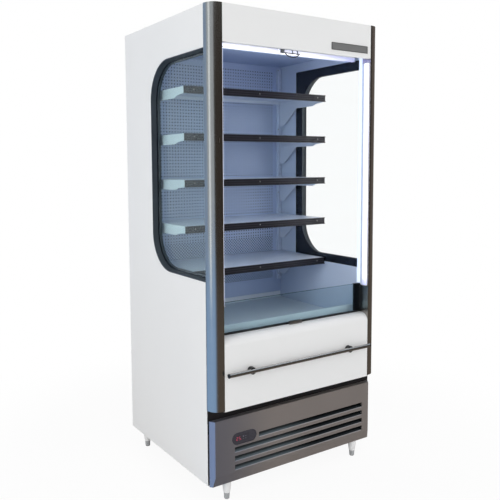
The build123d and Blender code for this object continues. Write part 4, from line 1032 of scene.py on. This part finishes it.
floor_mesh = bmesh.new()
bmesh.ops.create_grid(floor_mesh, x_segments=1, y_segments=1, size=floor_size / 2)
material, tree, place = start_material("white_studio_paper")
fibre = add_node(tree, "TexNoise", {"Vector": place, "Scale": grain(fibre_size), "Detail": 4.0})
tone = add_node(tree, "Mix", {FACTOR: fibre.outputs["Fac"], FIRST: "#FAFAFA", SECOND: "#FDFDFD"},
                data_type="RGBA")
paper = add_node(tree, "BsdfPrincipled", {
    "Base Color": tone.outputs[BLEND], "Roughness": 0.9, "Specular IOR Level": 0.1})
glow = add_node(tree, "Emission", {"Color": "#FFFFFF", "Strength": 1.0})
away = add_node(tree, "VectorMath", {"Vector": place}, operation="LENGTH")
share = add_node(tree, "MapRange", {"Value": away.outputs["Value"], "From Min": shadow_near,
                                    "From Max": shadow_far, "To Min": shadow_lift, "To Max": 1.0},
                 interpolation_type="SMOOTHSTEP")
ray = add_node(tree, "LightPath")
seen = add_node(tree, "Math", {0: ray.outputs["Is Camera Ray"], 1: ray.outputs["Is Transmission Ray"]},
                operation="MAXIMUM")
both = add_node(tree, "MixShader", {0: share.outputs["Result"], 1: paper.outputs["BSDF"],
                                    2: glow.outputs["Emission"]})
pick = add_node(tree, "MixShader", {0: seen.outputs["Value"], 1: paper.outputs["BSDF"],
                                    2: both.outputs["Shader"]})
from_post = add_node(tree, "VectorMath", {0: place, 1: post_foot}, operation="SUBTRACT")
from_post = add_node(tree, "VectorMath", {0: from_post.outputs["Vector"]}, operation="NORMALIZE")
beside = ramp_along(tree, from_post.outputs["Vector"], "X", front_of_post, side_of_post)
tone = add_node(tree, "Mix", {FACTOR: beside, FIRST: "#625B55", SECOND: "#9CC4F6"}, data_type="RGBA")
mirrored = add_node(tree, "Emission", {"Color": tone.outputs[BLEND], "Strength": mirrored_strength})
last = add_node(tree, "MixShader", {0: bounced(tree, ray), 1: pick.outputs["Shader"],
                                    2: mirrored.outputs["Emission"]})
end_material(tree, last.outputs["Shader"])
object_of("floor", floor_mesh, material)
print("floor", floor_size, "m wide")

# %% World and lamps
world = bpy.data.worlds.new("studio")
world.use_nodes = True
tree = world.node_tree
tree.nodes.clear()
lamp_share = 0.60
ray = add_node(tree, "LightPath")
seen = ray.outputs["Is Camera Ray"]
for kind in ("Is Glossy Ray", "Is Transmission Ray"):
    seen = add_node(tree, "Math", {0: seen, 1: ray.outputs[kind]}, operation="MAXIMUM").outputs["Value"]
level = add_node(tree, "MapRange", {"Value": seen, "To Min": lamp_share, "To Max": 1.0})
tone = add_node(tree, "Mix", {FACTOR: bounced(tree, ray), FIRST: "#FFFFFF", SECOND: "#DCE8F4"},
                data_type="RGBA")
sky = add_node(tree, "Background", {"Color": tone.outputs[BLEND], "Strength": level.outputs["Result"]})
add_node(tree, "OutputWorld", {"Surface": sky.outputs["Background"]})
bpy.context.scene.world = world
aim = Vector((0, 0, 1.0))
cloth_size = 500.0


def soft_lamp(name, at, size, power_in_watts):
    """A large square lamp that looks at the middle of the cabinet."""
    data = bpy.data.lights.new(name, "AREA")
    data.shape = "RECTANGLE"
    data.size, data.size_y = size
    data.energy = power_in_watts
    soft_box = bpy.data.objects.new(name, data)
    soft_box.visible_glossy = False
    soft_box.location = at
    soft_box.rotation_euler = (aim - Vector(at)).to_track_quat("-Z", "Y").to_euler()
    bpy.context.scene.collection.objects.link(soft_box)


def card(name, at, size, colour, strength):
    """A glowing board that only shiny surfaces see, facing the middle of the cabinet."""
    mesh = bmesh.new()
    bmesh.ops.create_grid(mesh, x_segments=1, y_segments=1, size=0.5)
    material, tree, place = start_material(name + "_cloth")
    fold = add_node(tree, "TexNoise", {"Vector": place, "Scale": grain(cloth_size)})
    level = add_node(tree, "MapRange", {"Value": fold.outputs["Fac"], "To Min": strength * 0.9,
                                        "To Max": strength * 1.1})
    shine = add_node(tree, "Emission", {"Color": colour, "Strength": level.outputs["Result"]})
    end_material(tree, shine.outputs["Emission"])
    board = object_of(name, mesh, material)
    board.location = at
    board.scale = (size[0], size[1], 1)
    board.rotation_euler = (aim - Vector(at)).to_track_quat("Z", "Y").to_euler()
    board.visible_camera = board.visible_diffuse = False
    board.visible_shadow = board.visible_transmission = False


card("dark_front_card", (0.9, -4.4, 1.2), (10.6, 5.0), "#FFEEE0", 0.075)
card("dark_right_card", (5.2, -0.8, 1.2), (6.0, 5.0), "#FFEEE6", 0.22)
card("cool_side_card", (-3.6, 3.2, 1.2), (4.6, 4.5), "#A6C4EA", 1.15)
card("pale_edge_card", (-4.6, -0.9, 1.4), (1.2, 4.0), "#E6F1FA", 2.2)
soft_lamp("key_lamp", (-4.4, -1.9, 2.2), (2.2, 2.2), 60)
soft_lamp("fill_lamp", (2.4, -4.0, 1.7), (3.4, 2.8), 46)

# %% [markdown]
# ## Camera
# The viewing angle was found by fitting a camera to the cabinet's edges: it stands to the left of the
# front, at chest height, and looks slightly down. The picture's centre is not the optical centre, so
# a small shift moves the frame.

# %% Camera
picture = 500
focal_pixels = 633.35
optical_centre = (226.35, 219.17)
sensor_width = 36.0
camera_at = Vector((-1.7227, -2.4523, 1.3808))
turned_right = math.radians(32.838)
tilted_up = math.radians(-4.841)
rolled = math.radians(-0.417)
lens = bpy.data.cameras.new("camera")
lens.sensor_width = sensor_width
lens.sensor_fit = "HORIZONTAL"
lens.lens = focal_pixels * sensor_width / picture
lens.shift_x = (picture / 2 - optical_centre[0]) / picture
lens.shift_y = (optical_centre[1] - picture / 2) / picture
lens.clip_start = 0.05
camera = bpy.data.objects.new("camera", lens)
turn = (Matrix.Rotation(-turned_right, 3, "Z") @ Matrix.Rotation(math.pi / 2 + tilted_up, 3, "X")
        @ Matrix.Rotation(rolled, 3, "Z"))
camera.matrix_world = Matrix.Translation(camera_at) @ turn.to_4x4()
bpy.context.scene.collection.objects.link(camera)
bpy.context.scene.camera = camera
bpy.context.scene.view_settings.view_transform = "Standard"
